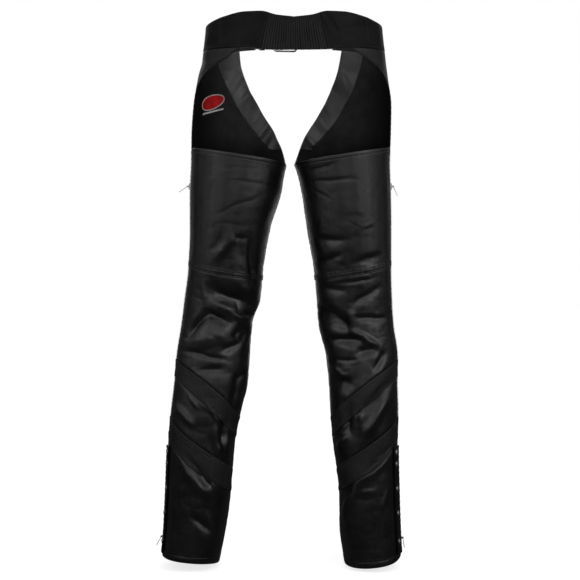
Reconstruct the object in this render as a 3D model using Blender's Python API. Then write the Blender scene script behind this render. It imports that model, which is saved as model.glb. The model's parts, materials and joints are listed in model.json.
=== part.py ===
"""Black leather motorcycle chaps, kept in the hollow form they have when worn.

Frame: +Z up, the wearer faces +Y, +X is the wearer's right. The origin is the centre of the waistband
ring at mid height, where the wearer's waist holds the garment. Tables are in millimetres, MM turns
them into metres.

Every leg piece lies on one hollow leg form: at each height a rounded ring with an outer side, an inner
side, a centre and a half depth. Angle 0 faces the outer side, 90 the front, 180 the inner side and -90
the back. Above the crotch the leg rings open out into the waist ring, so that the hip pieces and the
waistband meet.
"""

import math
from typing import NamedTuple

import bmesh
import bpy
import numpy as np
from mathutils import Matrix, Vector

MM = 0.001
ROUNDNESS = 2.25  # exponent of the rings: 2 is an ellipse, more is boxier

# Leather and seams
LEATHER = 1.8
LINING = 1.0
FACING = 1.1
WAISTBAND = 3.0
SEAM_GAP = 0.3
BAND_PROUD = 0.8

# Heights that several pieces share
CROTCH_Z = -244.0
INSEAM_ANGLE = 187.0
BACK_INSEAM_ANGLE = INSEAM_ANGLE - 360
INSEAM_HALF_GAP = 0.27
FACING_END_Z = -206.0

# Side zip
ZIP_TOP_Z = -218.0
ZIP_BOTTOM_Z = -1008.0
ZIP_HALF = 3.2
ZIP_THICK = 2.6
ZIP_PROUD = 0.5
ZIP_STEPS = 28
UPPER_SLIDER_Z = -290.0
LOWER_SLIDER_Z = -986.0
TOP_SPREAD = 2.0  # half the gap between the two chains at the top, where the zip is open

# Snap flap
FLAP_TOP_Z = -803.0
FLAP_BOTTOM_Z = -1013.0
FLAP_WIDTH = 31.0
FLAP_LIFT = BAND_PROUD + 0.4
FLAP_THICK = 2.0
SNAP_HEIGHTS = (-815.0, -838.0, -886.0, -934.0, -989.0)
SNAP_FROM_EDGE = 8.5
SNAP_RADIUS = 6.0

# Belt closure at the front
BELT_LOW = 3.0
BELT_HIGH = 35.0
BELT_THICK = 3.0


class Section(NamedTuple):
    z: float
    outer: float
    inner: float


class Depth(NamedTuple):
    z: float
    centre: float
    half: float


class Fold(NamedTuple):
    """A soft trough (depth above 0) or ridge (below 0), seen square on from behind or from the front."""

    x: float  # distance out from the garment's centre plane
    z: float
    length: float
    tilt: float  # degrees from the outward direction towards up
    width: float
    depth: float
    skew: float  # above 0 makes the upper wall the steep one


SECTIONS = {
    "left": (
        Section(44, 174, -174),
        Section(-38, 183, -183),
        Section(-42, 183.4, -183.4),
        Section(-70, 191, -150),
        Section(-130, 200.5, -80),
        Section(-190, 204.5, -24),
        Section(-244, 205, 14),
        Section(-308, 207.5, 27),
        Section(-372, 207.5, 47),
        Section(-452, 211, 61),
        Section(-516, 219, 67),
        Section(-564, 225, 83),
        Section(-628, 234.5, 88),
        Section(-676, 238, 91),
        Section(-740, 245, 106),
        Section(-804, 250, 117.5),
        Section(-900, 253.5, 125.5),
        Section(-964, 256.5, 134),
        Section(-1042, 263, 150),
    ),
    "right": (
        Section(44, 174, -174),
        Section(-38, 183, -183),
        Section(-42, 183.4, -183.4),
        Section(-70, 187, -148),
        Section(-130, 194, -86),
        Section(-190, 193, -38),
        Section(-244, 191, 0),
        Section(-308, 193, 16.5),
        Section(-372, 194, 25.5),
        Section(-452, 194, 39),
        Section(-516, 196, 45.5),
        Section(-564, 199, 49),
        Section(-628, 207, 63),
        Section(-676, 206, 68),
        Section(-740, 207, 72),
        Section(-804, 205.5, 77.5),
        Section(-900, 207, 89),
        Section(-964, 209, 90),
        Section(-1042, 213, 101),
    ),
}
DEPTHS = (
    Depth(44, 0, 118),
    Depth(-38, 0, 120),
    Depth(-130, 0, 119),
    Depth(-190, 2, 113),
    Depth(-244, 2, 107),
    Depth(-308, 4, 103),
    Depth(-404, 8, 94),
    Depth(-516, 12, 82),
    Depth(-620, 4, 77),
    Depth(-720, -6, 78),
    Depth(-820, -12, 79),
    Depth(-920, -16, 80),
    Depth(-1042, -18, 84),
)

# Distance of the front opening's edge from the centre plane: height, left leg, right leg
FRONT_EDGE = (
    (2, 114, 100),
    (-36, 110, 93),
    (-69, 98, 83),
    (-102, 81, 68),
    (-135, 62, 50),
    (-168, 41, 29),
    (-187, 33, 19),
    (-206, 25, 12),
    (-225, 20, 6),
    (-244, 16.2, 0.2),
)
# Width of the leather facing inside that edge, measured across the body: height, width
FACING_WIDTH = ((2, 46), (-100, 46), (-150, 44), (-180, 36), (-206, 24), (-260, 24), (-480, 24))

# Angle of the hip piece's back edge, which runs down into the side zip: height, left leg, right leg
HIP_EDGE = (
    (-24, -46, -45),
    (-55, -30, -26),
    (-86, -16, -14),
    (-108, -10, -9),
    (-150, -7, -7),
    (-212, -7, -7),
)
# Angle of the side zip: height, left leg, right leg
ZIP_ANGLE = ((-200, -10, -10), (-450, -9, -11), (-700, -5, -12), (-820, -1, -13), (-1042, 1, -14))

# Heights of the seams across the back of a leg: outer side, middle, inner side
BACK_SEAMS = {
    "seat": (-214, -233, -247),
    "thigh": (-448, -468, -477),
    "band_upper_top": (-632, -681, -748),
    "band_upper_low": (-666, -722, -788),
    "band_lower_top": (-745, -800, -850),
    "band_lower_low": (-786, -850, -894),
    "hem_left": (-1019, -1025, -1034),
    "hem_right": (-1018, -1034, -1036),
}
# Heights of the seams across the front of a leg: outer side, middle, inner side
FRONT_SEAMS = {
    "thigh": (-448, -452, -477),
    "hem_left": (-1019, -1022, -1034),
    "hem_right": (-1018, -1022, -1036),
}

# Heights of the waistband's two edges by the angle round the body: angle, top, bottom
WAIST_EDGES = (
    (-90, 30, -34),
    (-74, 34, -33.5),
    (-60, 42, -31.5),
    (-47, 42.5, -27.5),
    (-30, 36.5, -25),
    (-18, 30.5, -23.5),
    (0, 26.5, -21),
    (25, 29, -11),
    (48, 31, -1),
    (60, 33, 2),
    (90, 35, 3),
)
ELASTIC_TOP_HALF = 50.0
ELASTIC_BOTTOM_HALF = 65.0
ELASTIC_RIBS = 25
RIB_DEPTH = 1.3
WAIST_SIDE_ANGLE = -28.0
WAIST_FRONT_ANGLE = 54.0

BACK_FOLDS = {
    "left": (
        Fold(116, -511, 104, 20, 17, 11, 0.35),
        Fold(120, -537, 84, 27, 11, -4, 0.0),
        Fold(190, -561, 60, -51, 10, 6, 0.3),
        Fold(152, -548, 46, 25, 10, 6, 0.3),
        Fold(160, -589, 84, 0, 22, -4, 0.0),
        Fold(104, -577, 38, -36, 9, 6, 0.2),
        Fold(122, -607, 38, -20, 8, 5, 0.2),
        Fold(110, -689, 72, -73, 10, 6, 0.0),
        Fold(136, -414, 58, -59, 10, -4, 0.0),
        Fold(84, -434, 84, 88, 8, 4, 0.0),
        Fold(138, -772, 54, -68, 10, 6, 0.0),
        Fold(150, -792, 58, 85, 8, -4, 0.0),
        Fold(216, -739, 48, 48, 8, -4, 0.0),
        Fold(185, -848, 64, 50, 9, 5, 0.2),
        Fold(190, -868, 76, 52, 12, -6, 0.0),
        Fold(177, -951, 54, 38, 9, 4, 0.0),
    ),
    "right": (
        Fold(72, -397, 56, -2, 9, 5, 0.4),
        Fold(148, -433, 50, 21, 9, 4, 0.3),
        Fold(78, -493, 42, -10, 8, 4, 0.3),
        Fold(145, -505, 60, 28, 8, 4, 0.3),
        Fold(82, -550, 70, -33, 19, 9, 0.4),
        Fold(149, -549, 66, 0, 8, 4, 0.3),
        Fold(112, -558, 40, 88, 8, -5, 0.0),
        Fold(140, -593, 62, -29, 8, -5, 0.0),
        Fold(101, -592, 72, 0, 10, 6, 0.3),
        Fold(144, -612, 40, 12, 10, 5, 0.2),
        Fold(170, -633, 40, 60, 8, 4, 0.0),
        Fold(92, -674, 44, 0, 14, 6, 0.3),
        Fold(161, -702, 76, 42, 9, 6, 0.0),
        Fold(158, -746, 84, 58, 10, -6, 0.0),
        Fold(106, -750, 62, 88, 12, 6, 0.0),
        Fold(168, -822, 62, 45, 8, 4, 0.0),
        Fold(160, -842, 64, 45, 9, -5, 0.0),
        Fold(104, -917, 80, 70, 9, -5, 0.0),
    ),
}
FRONT_FOLDS = {
    "left": (
        Fold(150, -286, 90, 24, 12, 4, 0.2),
        Fold(128, -372, 96, -14, 12, 4, 0.2),
        Fold(150, -500, 90, 10, 13, 5, 0.3),
        Fold(142, -548, 76, -12, 11, 5, 0.3),
        Fold(172, -612, 84, 18, 12, 5, 0.2),
        Fold(170, -706, 90, 34, 13, 5, 0.0),
        Fold(192, -802, 80, -26, 12, 4, 0.0),
        Fold(196, -908, 92, 16, 13, 5, 0.0),
    ),
    "right": (
        Fold(92, -300, 90, 20, 12, 4, 0.2),
        Fold(118, -388, 92, -16, 12, 4, 0.2),
        Fold(112, -496, 88, -9, 13, 5, 0.3),
        Fold(132, -542, 80, 14, 11, 5, 0.3),
        Fold(128, -606, 86, -20, 12, 5, 0.2),
        Fold(140, -694, 88, -32, 13, 5, 0.0),
        Fold(144, -796, 84, 24, 12, 4, 0.0),
        Fold(150, -902, 90, -15, 13, 5, 0.0),
    ),
}

SIGN = {"left": -1.0, "right": 1.0}
# Angle of each pull tab from hanging straight down along the zip
TAB_LIFT = {
    ("left", "upper"): 54.0,
    ("right", "upper"): 22.0,
    ("left", "lower"): 24.0,
    ("right", "lower"): 6.0,
}

BLACK_LEATHER = ((0.012, 0.012, 0.013), 0.42, 0.0)
MATTE_LEATHER = ((0.014, 0.014, 0.015), 0.62, 0.0)
BLACK_LINING = ((0.008, 0.008, 0.009), 0.85, 0.0)
RED_LABEL = ((0.45, 0.02, 0.02), 0.7, 0.0)
NICKEL = ((0.62, 0.62, 0.60), 0.28, 1.0)
DARK_CHAIN = ((0.30, 0.30, 0.30), 0.35, 1.0)


# ---------------------------------------------------------------- curves and the leg form


def smooth(keys, values):
    """A smooth curve through the given points that never overshoots them, as a function of the key."""
    order = np.argsort(keys)
    xs = np.array(keys, float)[order]
    ys = np.array(values, float)[order]
    steps = np.diff(xs)
    slopes = np.diff(ys) / steps
    tangents = np.zeros(len(xs))
    tangents[0] = slopes[0]
    tangents[-1] = slopes[-1]
    for i in range(1, len(xs) - 1):
        before, after = slopes[i - 1], slopes[i]
        if before * after > 0:
            tangents[i] = 2 * before * after / (before + after)

    def curve(key):
        key = np.clip(key, xs[0], xs[-1])
        i = np.clip(np.searchsorted(xs, key) - 1, 0, len(steps) - 1)
        h = steps[i]
        t = (key - xs[i]) / h
        return (
            ys[i] * (1 + 2 * t) * (1 - t) ** 2
            + tangents[i] * h * t * (1 - t) ** 2
            + ys[i + 1] * t * t * (3 - 2 * t)
            + tangents[i + 1] * h * t * t * (t - 1)
        )

    return curve


def column_curve(rows, column):
    return smooth([row[0] for row in rows], [row[column] for row in rows])


OUTER = {leg: column_curve(rows, 1) for leg, rows in SECTIONS.items()}
INNER = {leg: column_curve(rows, 2) for leg, rows in SECTIONS.items()}
CENTRE_Y = column_curve(DEPTHS, 1)
HALF_DEPTH = column_curve(DEPTHS, 2)
LEG_COLUMN = {"left": 1, "right": 2}
FRONT_EDGE_X = {leg: column_curve(FRONT_EDGE, k) for leg, k in LEG_COLUMN.items()}
HIP_EDGE_ANGLE = {leg: column_curve(HIP_EDGE, k) for leg, k in LEG_COLUMN.items()}
ZIP_LINE = {leg: column_curve(ZIP_ANGLE, k) for leg, k in LEG_COLUMN.items()}
FACING_ACROSS = column_curve(FACING_WIDTH, 1)
WAIST_TOP = column_curve(WAIST_EDGES, 1)
WAIST_BOTTOM = column_curve(WAIST_EDGES, 2)


def ring(leg, z):
    """Centre and half sizes of the ring at height z."""
    outer = OUTER[leg](z)
    inner = INNER[leg](z)
    return (outer + inner) / 2, (outer - inner) / 2, CENTRE_Y(z), HALF_DEPTH(z)


def radius(leg, angle, z):
    _, a, _, b = ring(leg, z)
    turn = np.radians(angle)
    across = np.abs(np.cos(turn) / a) ** ROUNDNESS
    along = np.abs(np.sin(turn) / b) ** ROUNDNESS
    return (across + along) ** (-1 / ROUNDNESS)


def angle_at(leg, x, z, side):
    """Angle at which the ring is x out from the centre plane, on the front (side 1) or the back (-1)."""
    centre, a, _, b = ring(leg, z)
    across = np.clip((x - centre) / a, -1, 1)
    along = (1 - np.abs(across) ** ROUNDNESS) ** (1 / ROUNDNESS)
    return np.degrees(np.arctan2(side * b * along, a * across))


def soft_step(value, low, high):
    t = np.clip((value - low) / (high - low), 0, 1)
    return t * t * (3 - 2 * t)


def fold_depth(folds, x, z):
    total = np.zeros(np.shape(x))
    for fold in folds:
        turn = math.radians(fold.tilt)
        along = (x - fold.x) * math.cos(turn) + (z - fold.z) * math.sin(turn)
        across = (z - fold.z) * math.cos(turn) - (x - fold.x) * math.sin(turn)
        width = fold.width * np.where(across > 0, 1 - fold.skew, 1 + fold.skew)
        taper = np.exp(-np.abs(2 * along / fold.length) ** 3)
        total += fold.depth * taper * np.exp(-((across / width) ** 2))
    return total


def surface(leg, angle, z, lift=0.0):
    """Points of the leg form in millimetres, moved out by lift and in by the folds."""
    angle, z = np.broadcast_arrays(np.asarray(angle, float), np.asarray(z, float))
    centre, a, centre_y, b = ring(leg, z)
    turn = np.radians(angle)
    r = radius(leg, angle, z)
    across = r * np.cos(turn)
    along = r * np.sin(turn)
    x = centre + across
    y = centre_y + along
    normal_x = np.sign(across) * np.abs(across) ** (ROUNDNESS - 1) / a**ROUNDNESS
    normal_y = np.sign(along) * np.abs(along) ** (ROUNDNESS - 1) / b**ROUNDNESS
    size = np.hypot(normal_x, normal_y)
    normal_x = normal_x / size
    normal_y = normal_y / size
    behind = soft_step(-normal_y, 0.12, 0.55) * soft_step(CROTCH_Z + 4 - z, 0, 12)
    before = soft_step(normal_y, 0.12, 0.55) * soft_step(CROTCH_Z + 4 - z, 0, 12)
    sunk = behind * fold_depth(BACK_FOLDS[leg], x, z) + before * fold_depth(FRONT_FOLDS[leg], x, z)
    move = lift - sunk
    return np.stack([SIGN[leg] * (x + normal_x * move), y + normal_y * move, z], axis=-1)


# ---------------------------------------------------------------- meshes


def add_object(name, mesh, finish):
    colour, roughness, metallic = finish
    material = bpy.data.materials.new(name)
    material.use_nodes = True
    shader = material.node_tree.nodes["Principled BSDF"]
    shader.inputs["Base Color"].default_value = (*colour, 1)
    shader.inputs["Roughness"].default_value = roughness
    shader.inputs["Metallic"].default_value = metallic
    material.diffuse_color = (*colour, 1)
    mesh.materials.append(material)
    obj = bpy.data.objects.new(name, mesh)
    bpy.context.scene.collection.objects.link(obj)
    return obj


def wall(name, outside, inside, finish):
    """A closed wall between two grids of points in millimetres, rows by columns."""
    rows, columns = outside.shape[:2]
    points = np.concatenate([outside.reshape(-1, 3), inside.reshape(-1, 3)]) * MM
    index = np.arange(rows * columns).reshape(rows, columns)
    back = index + rows * columns
    faces = []
    for i in range(rows - 1):
        for j in range(columns - 1):
            corners = (index[i, j], index[i + 1, j], index[i + 1, j + 1], index[i, j + 1])
            # One diagonal for both sides and every layer, so that layers never cross.
            for triangle in (corners[:3], (corners[0], corners[2], corners[3])):
                faces.append(triangle)
                faces.append(tuple(c + rows * columns for c in reversed(triangle)))
    rim = [(0, j) for j in range(columns - 1)]
    rim += [(i, columns - 1) for i in range(rows - 1)]
    rim += [(rows - 1, j) for j in range(columns - 1, 0, -1)]
    rim += [(i, 0) for i in range(rows - 1, 0, -1)]
    for here, there in zip(rim, rim[1:] + rim[:1]):
        faces.append((index[here], index[there], back[there], back[here]))
    mesh = bpy.data.meshes.new(name)
    mesh.from_pydata([tuple(p) for p in points], [], [tuple(int(k) for k in f) for f in faces])
    mesh.validate()
    face_outwards(mesh)
    mesh.shade_smooth()
    mesh.set_sharp_from_angle(angle=math.radians(40))
    return add_object(name, mesh, finish)


def face_outwards(mesh):
    work = bmesh.new()
    work.from_mesh(mesh)
    bmesh.ops.recalc_face_normals(work, faces=work.faces)
    if work.calc_volume(signed=True) < 0:
        bmesh.ops.reverse_faces(work, faces=work.faces)
    work.to_mesh(mesh)
    work.free()


def skin(name, leg, angles, heights, top_lift, thick, finish):
    """A wall on the leg form: its outer face at top_lift, its inner face a thickness further in."""
    outside = surface(leg, angles, heights, top_lift)
    inside = surface(leg, angles, heights, top_lift - thick)
    return wall(name, outside, inside, finish)


# ---------------------------------------------------------------- edges of the panels


def zip_spread(z):
    """Half the gap between the two chains: closed below the upper slider, open above it."""
    return SEAM_GAP / 2 + TOP_SPREAD * soft_step(z, UPPER_SLIDER_Z, ZIP_TOP_Z)


def beside_zip(leg, z, distance):
    """Angle at a distance from the zip's centre line, positive towards the front."""
    centre = ZIP_LINE[leg](z)
    return centre + np.degrees(distance / radius(leg, centre, z))


def front_outer_angle(leg, z):
    below = beside_zip(leg, z, zip_spread(z) + ZIP_HALF + SEAM_GAP)
    above = HIP_EDGE_ANGLE[leg](z)
    return below + (above - below) * soft_step(z, ZIP_TOP_Z, ZIP_TOP_Z + 30)


def front_inner_angle(leg, z):
    edge = angle_at(leg, FRONT_EDGE_X[leg](z), z, 1)
    seam = INSEAM_ANGLE - np.degrees(INSEAM_HALF_GAP / radius(leg, INSEAM_ANGLE, z))
    return edge + (seam - edge) * soft_step(CROTCH_Z - z, 0, 8)


def facing_angle(leg, z):
    x = np.where(z > CROTCH_Z, FRONT_EDGE_X[leg](z), INNER[leg](z)) + FACING_ACROSS(z)
    return angle_at(leg, x, z, 1)


def back_outer_angle(leg, z):
    return beside_zip(leg, z, -(zip_spread(z) + ZIP_HALF + SEAM_GAP))


def back_inner_angle(leg, z):
    return BACK_INSEAM_ANGLE + np.degrees(INSEAM_HALF_GAP / radius(leg, BACK_INSEAM_ANGLE, z))


def seam_height(seam, angle):
    """Height of a cross seam by how far across the leg a point is, from the outer side to the inner."""
    outer, middle, inner = seam
    t = (1 - np.cos(np.radians(angle))) / 2
    return outer * (1 - t) * (1 - 2 * t) + middle * 4 * t * (1 - t) + inner * t * (2 * t - 1)


def panel_grid(leg, shares, first_angle, last_angle, top, bottom, rows):
    """Angles and heights of a panel: columns at the given shares of its width, rows evenly spaced."""
    down = np.linspace(0, 1, rows + 1)[:, None]
    across = np.asarray(shares)[None, :]
    z = np.zeros((rows + 1, across.shape[1])) + (top(0.0) + bottom(0.0)) / 2
    for _ in range(12):
        first = first_angle(leg, z)
        angle = first + (last_angle(leg, z) - first) * across
        z = top(angle) + (bottom(angle) - top(angle)) * down
    return angle, z


def seam_line(seams, name, shift):
    return lambda angle: seam_height(seams[name], angle) + shift


def waist_seam(angle):
    return WAIST_BOTTOM(angle) - SEAM_GAP / 2


# ---------------------------------------------------------------- leg pieces

FRONT_COLUMNS = 9
FACING_COLUMNS = 2
FRONT_THIGH_ROWS = 15
FRONT_SHIN_ROWS = 18
BACK_COLUMNS = 14
HALF_GAP = 0.22


def front_thigh_grid(leg):
    """The front thigh with its hip: wide columns up to the facing, then the facing's own columns."""
    main = FRONT_COLUMNS
    total = main + FACING_COLUMNS
    index = np.arange(total + 1)

    def columns(first, edge, last):
        low = first + (edge - first) * index / main
        high = edge + (last - edge) * (index - main) / FACING_COLUMNS
        return np.where(index <= main, low, high)

    down = np.linspace(0, 1, FRONT_THIGH_ROWS + 1)[:, None]
    z = -10 + (-450 + 10) * down + np.zeros(total + 1)[None, :]
    bottom = seam_line(FRONT_SEAMS, "thigh", HALF_GAP)
    for _ in range(40):
        angle = columns(front_outer_angle(leg, z), facing_angle(leg, z), front_inner_angle(leg, z))
        target = waist_seam(angle) + (bottom(angle) - waist_seam(angle)) * down
        z = z + 0.5 * (target - z)
    return angle, z


def build_front(leg):
    angle, z = front_thigh_grid(leg)
    skin(f"front_thigh_{leg}", leg, angle, z, 0, LEATHER, BLACK_LEATHER)
    under = -(LEATHER + SEAM_GAP)
    edge = FRONT_COLUMNS
    inset = np.degrees(SEAM_GAP / radius(leg, angle[:, edge], z[:, edge]))
    lining_angle = angle[:, : edge + 1].copy()
    lining_angle[:, edge] -= inset
    skin(f"lining_{leg}", leg, lining_angle, z[:, : edge + 1], under, LINING, BLACK_LINING)
    last = int(np.argmin(np.abs(z[:, edge] - FACING_END_Z))) + 1
    facing_angle_grid = angle[:last, edge:]
    skin(f"facing_{leg}", leg, facing_angle_grid, z[:last, edge:], under, FACING, BLACK_LEATHER)
    shares = np.linspace(0, 1, FRONT_COLUMNS + FACING_COLUMNS)
    angle, z = panel_grid(
        leg,
        shares,
        front_outer_angle,
        front_inner_angle,
        seam_line(FRONT_SEAMS, "thigh", -HALF_GAP),
        seam_line(FRONT_SEAMS, f"hem_{leg}", 0),
        FRONT_SHIN_ROWS,
    )
    skin(f"front_shin_{leg}", leg, angle, z, 0, LEATHER, BLACK_LEATHER)


class BackPanel(NamedTuple):
    name: str
    top: str
    bottom: str
    rows: int
    proud: float
    finish: tuple


BACK_PANELS = (
    BackPanel("back_thigh", "seat", "thigh", 10, 0, BLACK_LEATHER),
    BackPanel("back_knee", "thigh", "band_upper_top", 16, 0, BLACK_LEATHER),
    BackPanel("back_band_upper", "band_upper_top", "band_upper_low", 2, BAND_PROUD, MATTE_LEATHER),
    BackPanel("back_calf", "band_upper_low", "band_lower_top", 5, 0, BLACK_LEATHER),
    BackPanel("back_band_lower", "band_lower_top", "band_lower_low", 3, BAND_PROUD, MATTE_LEATHER),
    BackPanel("back_ankle", "band_lower_low", "hem", 8, 0, BLACK_LEATHER),
)


def build_back(leg):
    shares = np.linspace(0, 1, BACK_COLUMNS + 1)
    for panel in BACK_PANELS:
        top_shift = 0 if panel.top == "seat" else -HALF_GAP
        bottom_shift = 0 if panel.bottom == "hem" else HALF_GAP
        bottom = f"hem_{leg}" if panel.bottom == "hem" else panel.bottom
        angle, z = panel_grid(
            leg,
            shares,
            back_outer_angle,
            back_inner_angle,
            seam_line(BACK_SEAMS, panel.top, top_shift),
            seam_line(BACK_SEAMS, bottom, bottom_shift),
            panel.rows,
        )
        thick = LEATHER + panel.proud
        skin(f"{panel.name}_{leg}", leg, angle, z, panel.proud, thick, panel.finish)


def build_zip(leg):
    heights = np.linspace(ZIP_TOP_Z, ZIP_BOTTOM_Z, ZIP_STEPS + 1)[:, None]
    for half, side in (("front", 1), ("back", -1)):
        near = zip_spread(heights)
        distances = np.concatenate([near, near + ZIP_HALF], axis=1) * side
        angle = beside_zip(leg, heights, distances)
        z = np.broadcast_to(heights, angle.shape)
        skin(f"zip_{half}_{leg}", leg, angle, z, ZIP_PROUD, ZIP_THICK, DARK_CHAIN)


def build_flap(leg):
    """The strip behind the zip's lower end, closed with snaps near its free back edge."""
    rows = 9
    heights = np.linspace(FLAP_TOP_Z, FLAP_BOTTOM_Z, rows + 1)[:, None]
    inset = ZIP_HALF + 2 * SEAM_GAP
    distances = -np.linspace(inset, inset + FLAP_WIDTH, 4)[None, :]
    angle = beside_zip(leg, heights, distances)
    z = np.broadcast_to(heights, angle.shape)
    skin(f"snap_flap_{leg}", leg, angle, z, FLAP_LIFT + FLAP_THICK, FLAP_THICK, BLACK_LEATHER)
    for number, height in enumerate(SNAP_HEIGHTS, 1):
        away = -(inset + FLAP_WIDTH - SNAP_FROM_EDGE)
        place = local_frame(leg, height, away, FLAP_LIFT + FLAP_THICK + SEAM_GAP)
        build_snap(f"snap_{number}_{leg}", place)


# ---------------------------------------------------------------- small hardware


def local_frame(leg, z, distance, lift):
    """Frame on the leg form beside the zip: X to the front, Y straight out, Z up along the form."""
    angle = beside_zip(leg, z, distance)
    here = Vector(surface(leg, angle, z, lift))
    out = (Vector(surface(leg, angle, z, lift + 1)) - here).normalized()
    above = Vector(surface(leg, angle, z + 2, lift))
    below = Vector(surface(leg, angle, z - 2, lift))
    up = (above - below).normalized()
    out = (out - up * out.dot(up)).normalized()
    side = out.cross(up)
    turn = Matrix((side, out, up)).transposed().to_4x4()
    return Matrix.Translation(here * MM) @ turn


def turned(name, profile, sides, finish):
    """A closed solid turned about Y from (radius, height) points that start and end on the axis."""
    work = bmesh.new()
    rings = []
    for r, h in profile:
        count = 1 if r == 0 else sides
        turns = [k * math.tau / sides for k in range(count)]
        places = [(r * MM * math.cos(turn), h * MM, r * MM * math.sin(turn)) for turn in turns]
        rings.append([work.verts.new(place) for place in places])
    for low, high in zip(rings, rings[1:]):
        for k in range(sides):
            after = k + 1
            corners = (low[k % len(low)], low[after % len(low)], high[after % len(high)], high[k % len(high)])
            unique = list(dict.fromkeys(corners))
            if len(unique) > 2:
                work.faces.new(unique)
    mesh = bpy.data.meshes.new(name)
    work.to_mesh(mesh)
    work.free()
    face_outwards(mesh)
    mesh.shade_smooth()
    return add_object(name, mesh, finish)


def build_snap(name, place):
    rim = SNAP_RADIUS
    profile = ((0, 0), (rim, 0), (rim - 0.5, 1.4), (rim * 0.5, 2.4), (0, 2.6))
    turned(name, profile, 12, NICKEL).matrix_world = place


def block(work, low, high):
    """Adds a box between two corners in millimetres."""
    size = [(h - l) * MM for l, h in zip(low, high)]
    middle = [(h + l) / 2 * MM for l, h in zip(low, high)]
    matrix = Matrix.Translation(middle) @ Matrix.Diagonal((*size, 1))
    bmesh.ops.create_cube(work, size=1, matrix=matrix)


def outline_solid(name, outline, half_width, finish):
    """A plate with the given (y, z) outline in millimetres, half_width to each side along X."""
    work = bmesh.new()
    left = [work.verts.new((-half_width * MM, y * MM, z * MM)) for y, z in outline]
    right = [work.verts.new((half_width * MM, y * MM, z * MM)) for y, z in outline]
    work.faces.new(left)
    work.faces.new(list(reversed(right)))
    for k in range(len(outline)):
        after = (k + 1) % len(outline)
        work.faces.new((left[k], right[k], right[after], left[after]))
    mesh = bpy.data.meshes.new(name)
    work.to_mesh(mesh)
    work.free()
    face_outwards(mesh)
    return add_object(name, mesh, finish)


SLIDER_WIDTH = 7.0
SLIDER_LENGTH = 13.0
SLIDER_THICK = 2.6
EAR_GAP = 3.2
EAR_THICK = 1.2
EAR_HALF = 1.9
EAR_ABOVE_PIN = 1.6
EAR_SUNK = 0.8  # how far the ears reach down into the plate, so that they join it
PIN_HEIGHT = 2.3  # above the slider's plate
PIN_RADIUS = 0.7
TAB_LENGTH = 20.0
TAB_HALF = 3.4
TAB_THICK = 1.2
TAB_CORNER = 1.4
EYE_WALL = 0.9


def cutter_of(name, mesh):
    helper = bpy.data.objects.new(name, mesh)
    bpy.context.scene.collection.objects.link(helper)
    helper.hide_render = True
    helper.display_type = "WIRE"
    return helper


def join_into(obj, name, mesh, place):
    """Adds a mesh to an object with an exact union."""
    helper = cutter_of(name, mesh)
    helper.matrix_world = place
    change = obj.modifiers.new(name, "BOOLEAN")
    change.operation = "UNION"
    change.solver = "EXACT"
    change.object = helper


def box_mesh(name, low, high):
    work = bmesh.new()
    block(work, low, high)
    mesh = bpy.data.meshes.new(name)
    work.to_mesh(mesh)
    work.free()
    return mesh


def rod_mesh(name, length, rod_radius, sides=10):
    """A round rod along X in millimetres, centred on its own origin."""
    work = bmesh.new()
    bmesh.ops.create_cone(
        work,
        cap_ends=True,
        segments=sides,
        radius1=rod_radius * MM,
        radius2=rod_radius * MM,
        depth=length * MM,
        matrix=Matrix.Rotation(math.pi / 2, 4, "Y"),
    )
    mesh = bpy.data.meshes.new(name)
    work.to_mesh(mesh)
    work.free()
    return mesh


def build_slider(leg, which, z):
    """A slider with two ears and a pin, and the pull tab that swings on the pin."""
    base = ZIP_PROUD + SEAM_GAP
    place = local_frame(leg, z, 0.0, base)
    name = f"slider_{which}_{leg}"
    half = SLIDER_LENGTH / 2
    outline = (
        (0, -half),
        (0, half),
        (SLIDER_THICK * 0.6, half),
        (SLIDER_THICK, half * 0.6),
        (SLIDER_THICK, -half * 0.7),
        (SLIDER_THICK * 0.7, -half),
    )
    slider = outline_solid(name, outline, SLIDER_WIDTH / 2, NICKEL)
    slider.matrix_world = place
    ear_top = SLIDER_THICK + PIN_HEIGHT + EAR_ABOVE_PIN
    for side in (-1, 1):
        near = side * EAR_GAP / 2
        far = side * (EAR_GAP / 2 + EAR_THICK)
        ear = box_mesh(
            f"{name}_ear",
            (min(near, far), SLIDER_THICK - EAR_SUNK, -EAR_HALF),
            (max(near, far), ear_top, EAR_HALF),
        )
        join_into(slider, f"{name}_ear_{'a' if side < 0 else 'b'}", ear, place)
    pin_at = Matrix.Translation((0, (SLIDER_THICK + PIN_HEIGHT) * MM, 0))
    pin = rod_mesh(f"{name}_pin", EAR_GAP + 1.4 * EAR_THICK, PIN_RADIUS)
    join_into(slider, f"{name}_pin", pin, place @ pin_at)

    lift = math.radians(TAB_LIFT[(leg, which)])
    swing = Matrix.Rotation(lift, 4, "X")
    build_tab(f"pull_tab_{which}_{leg}", place @ pin_at @ swing)


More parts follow.
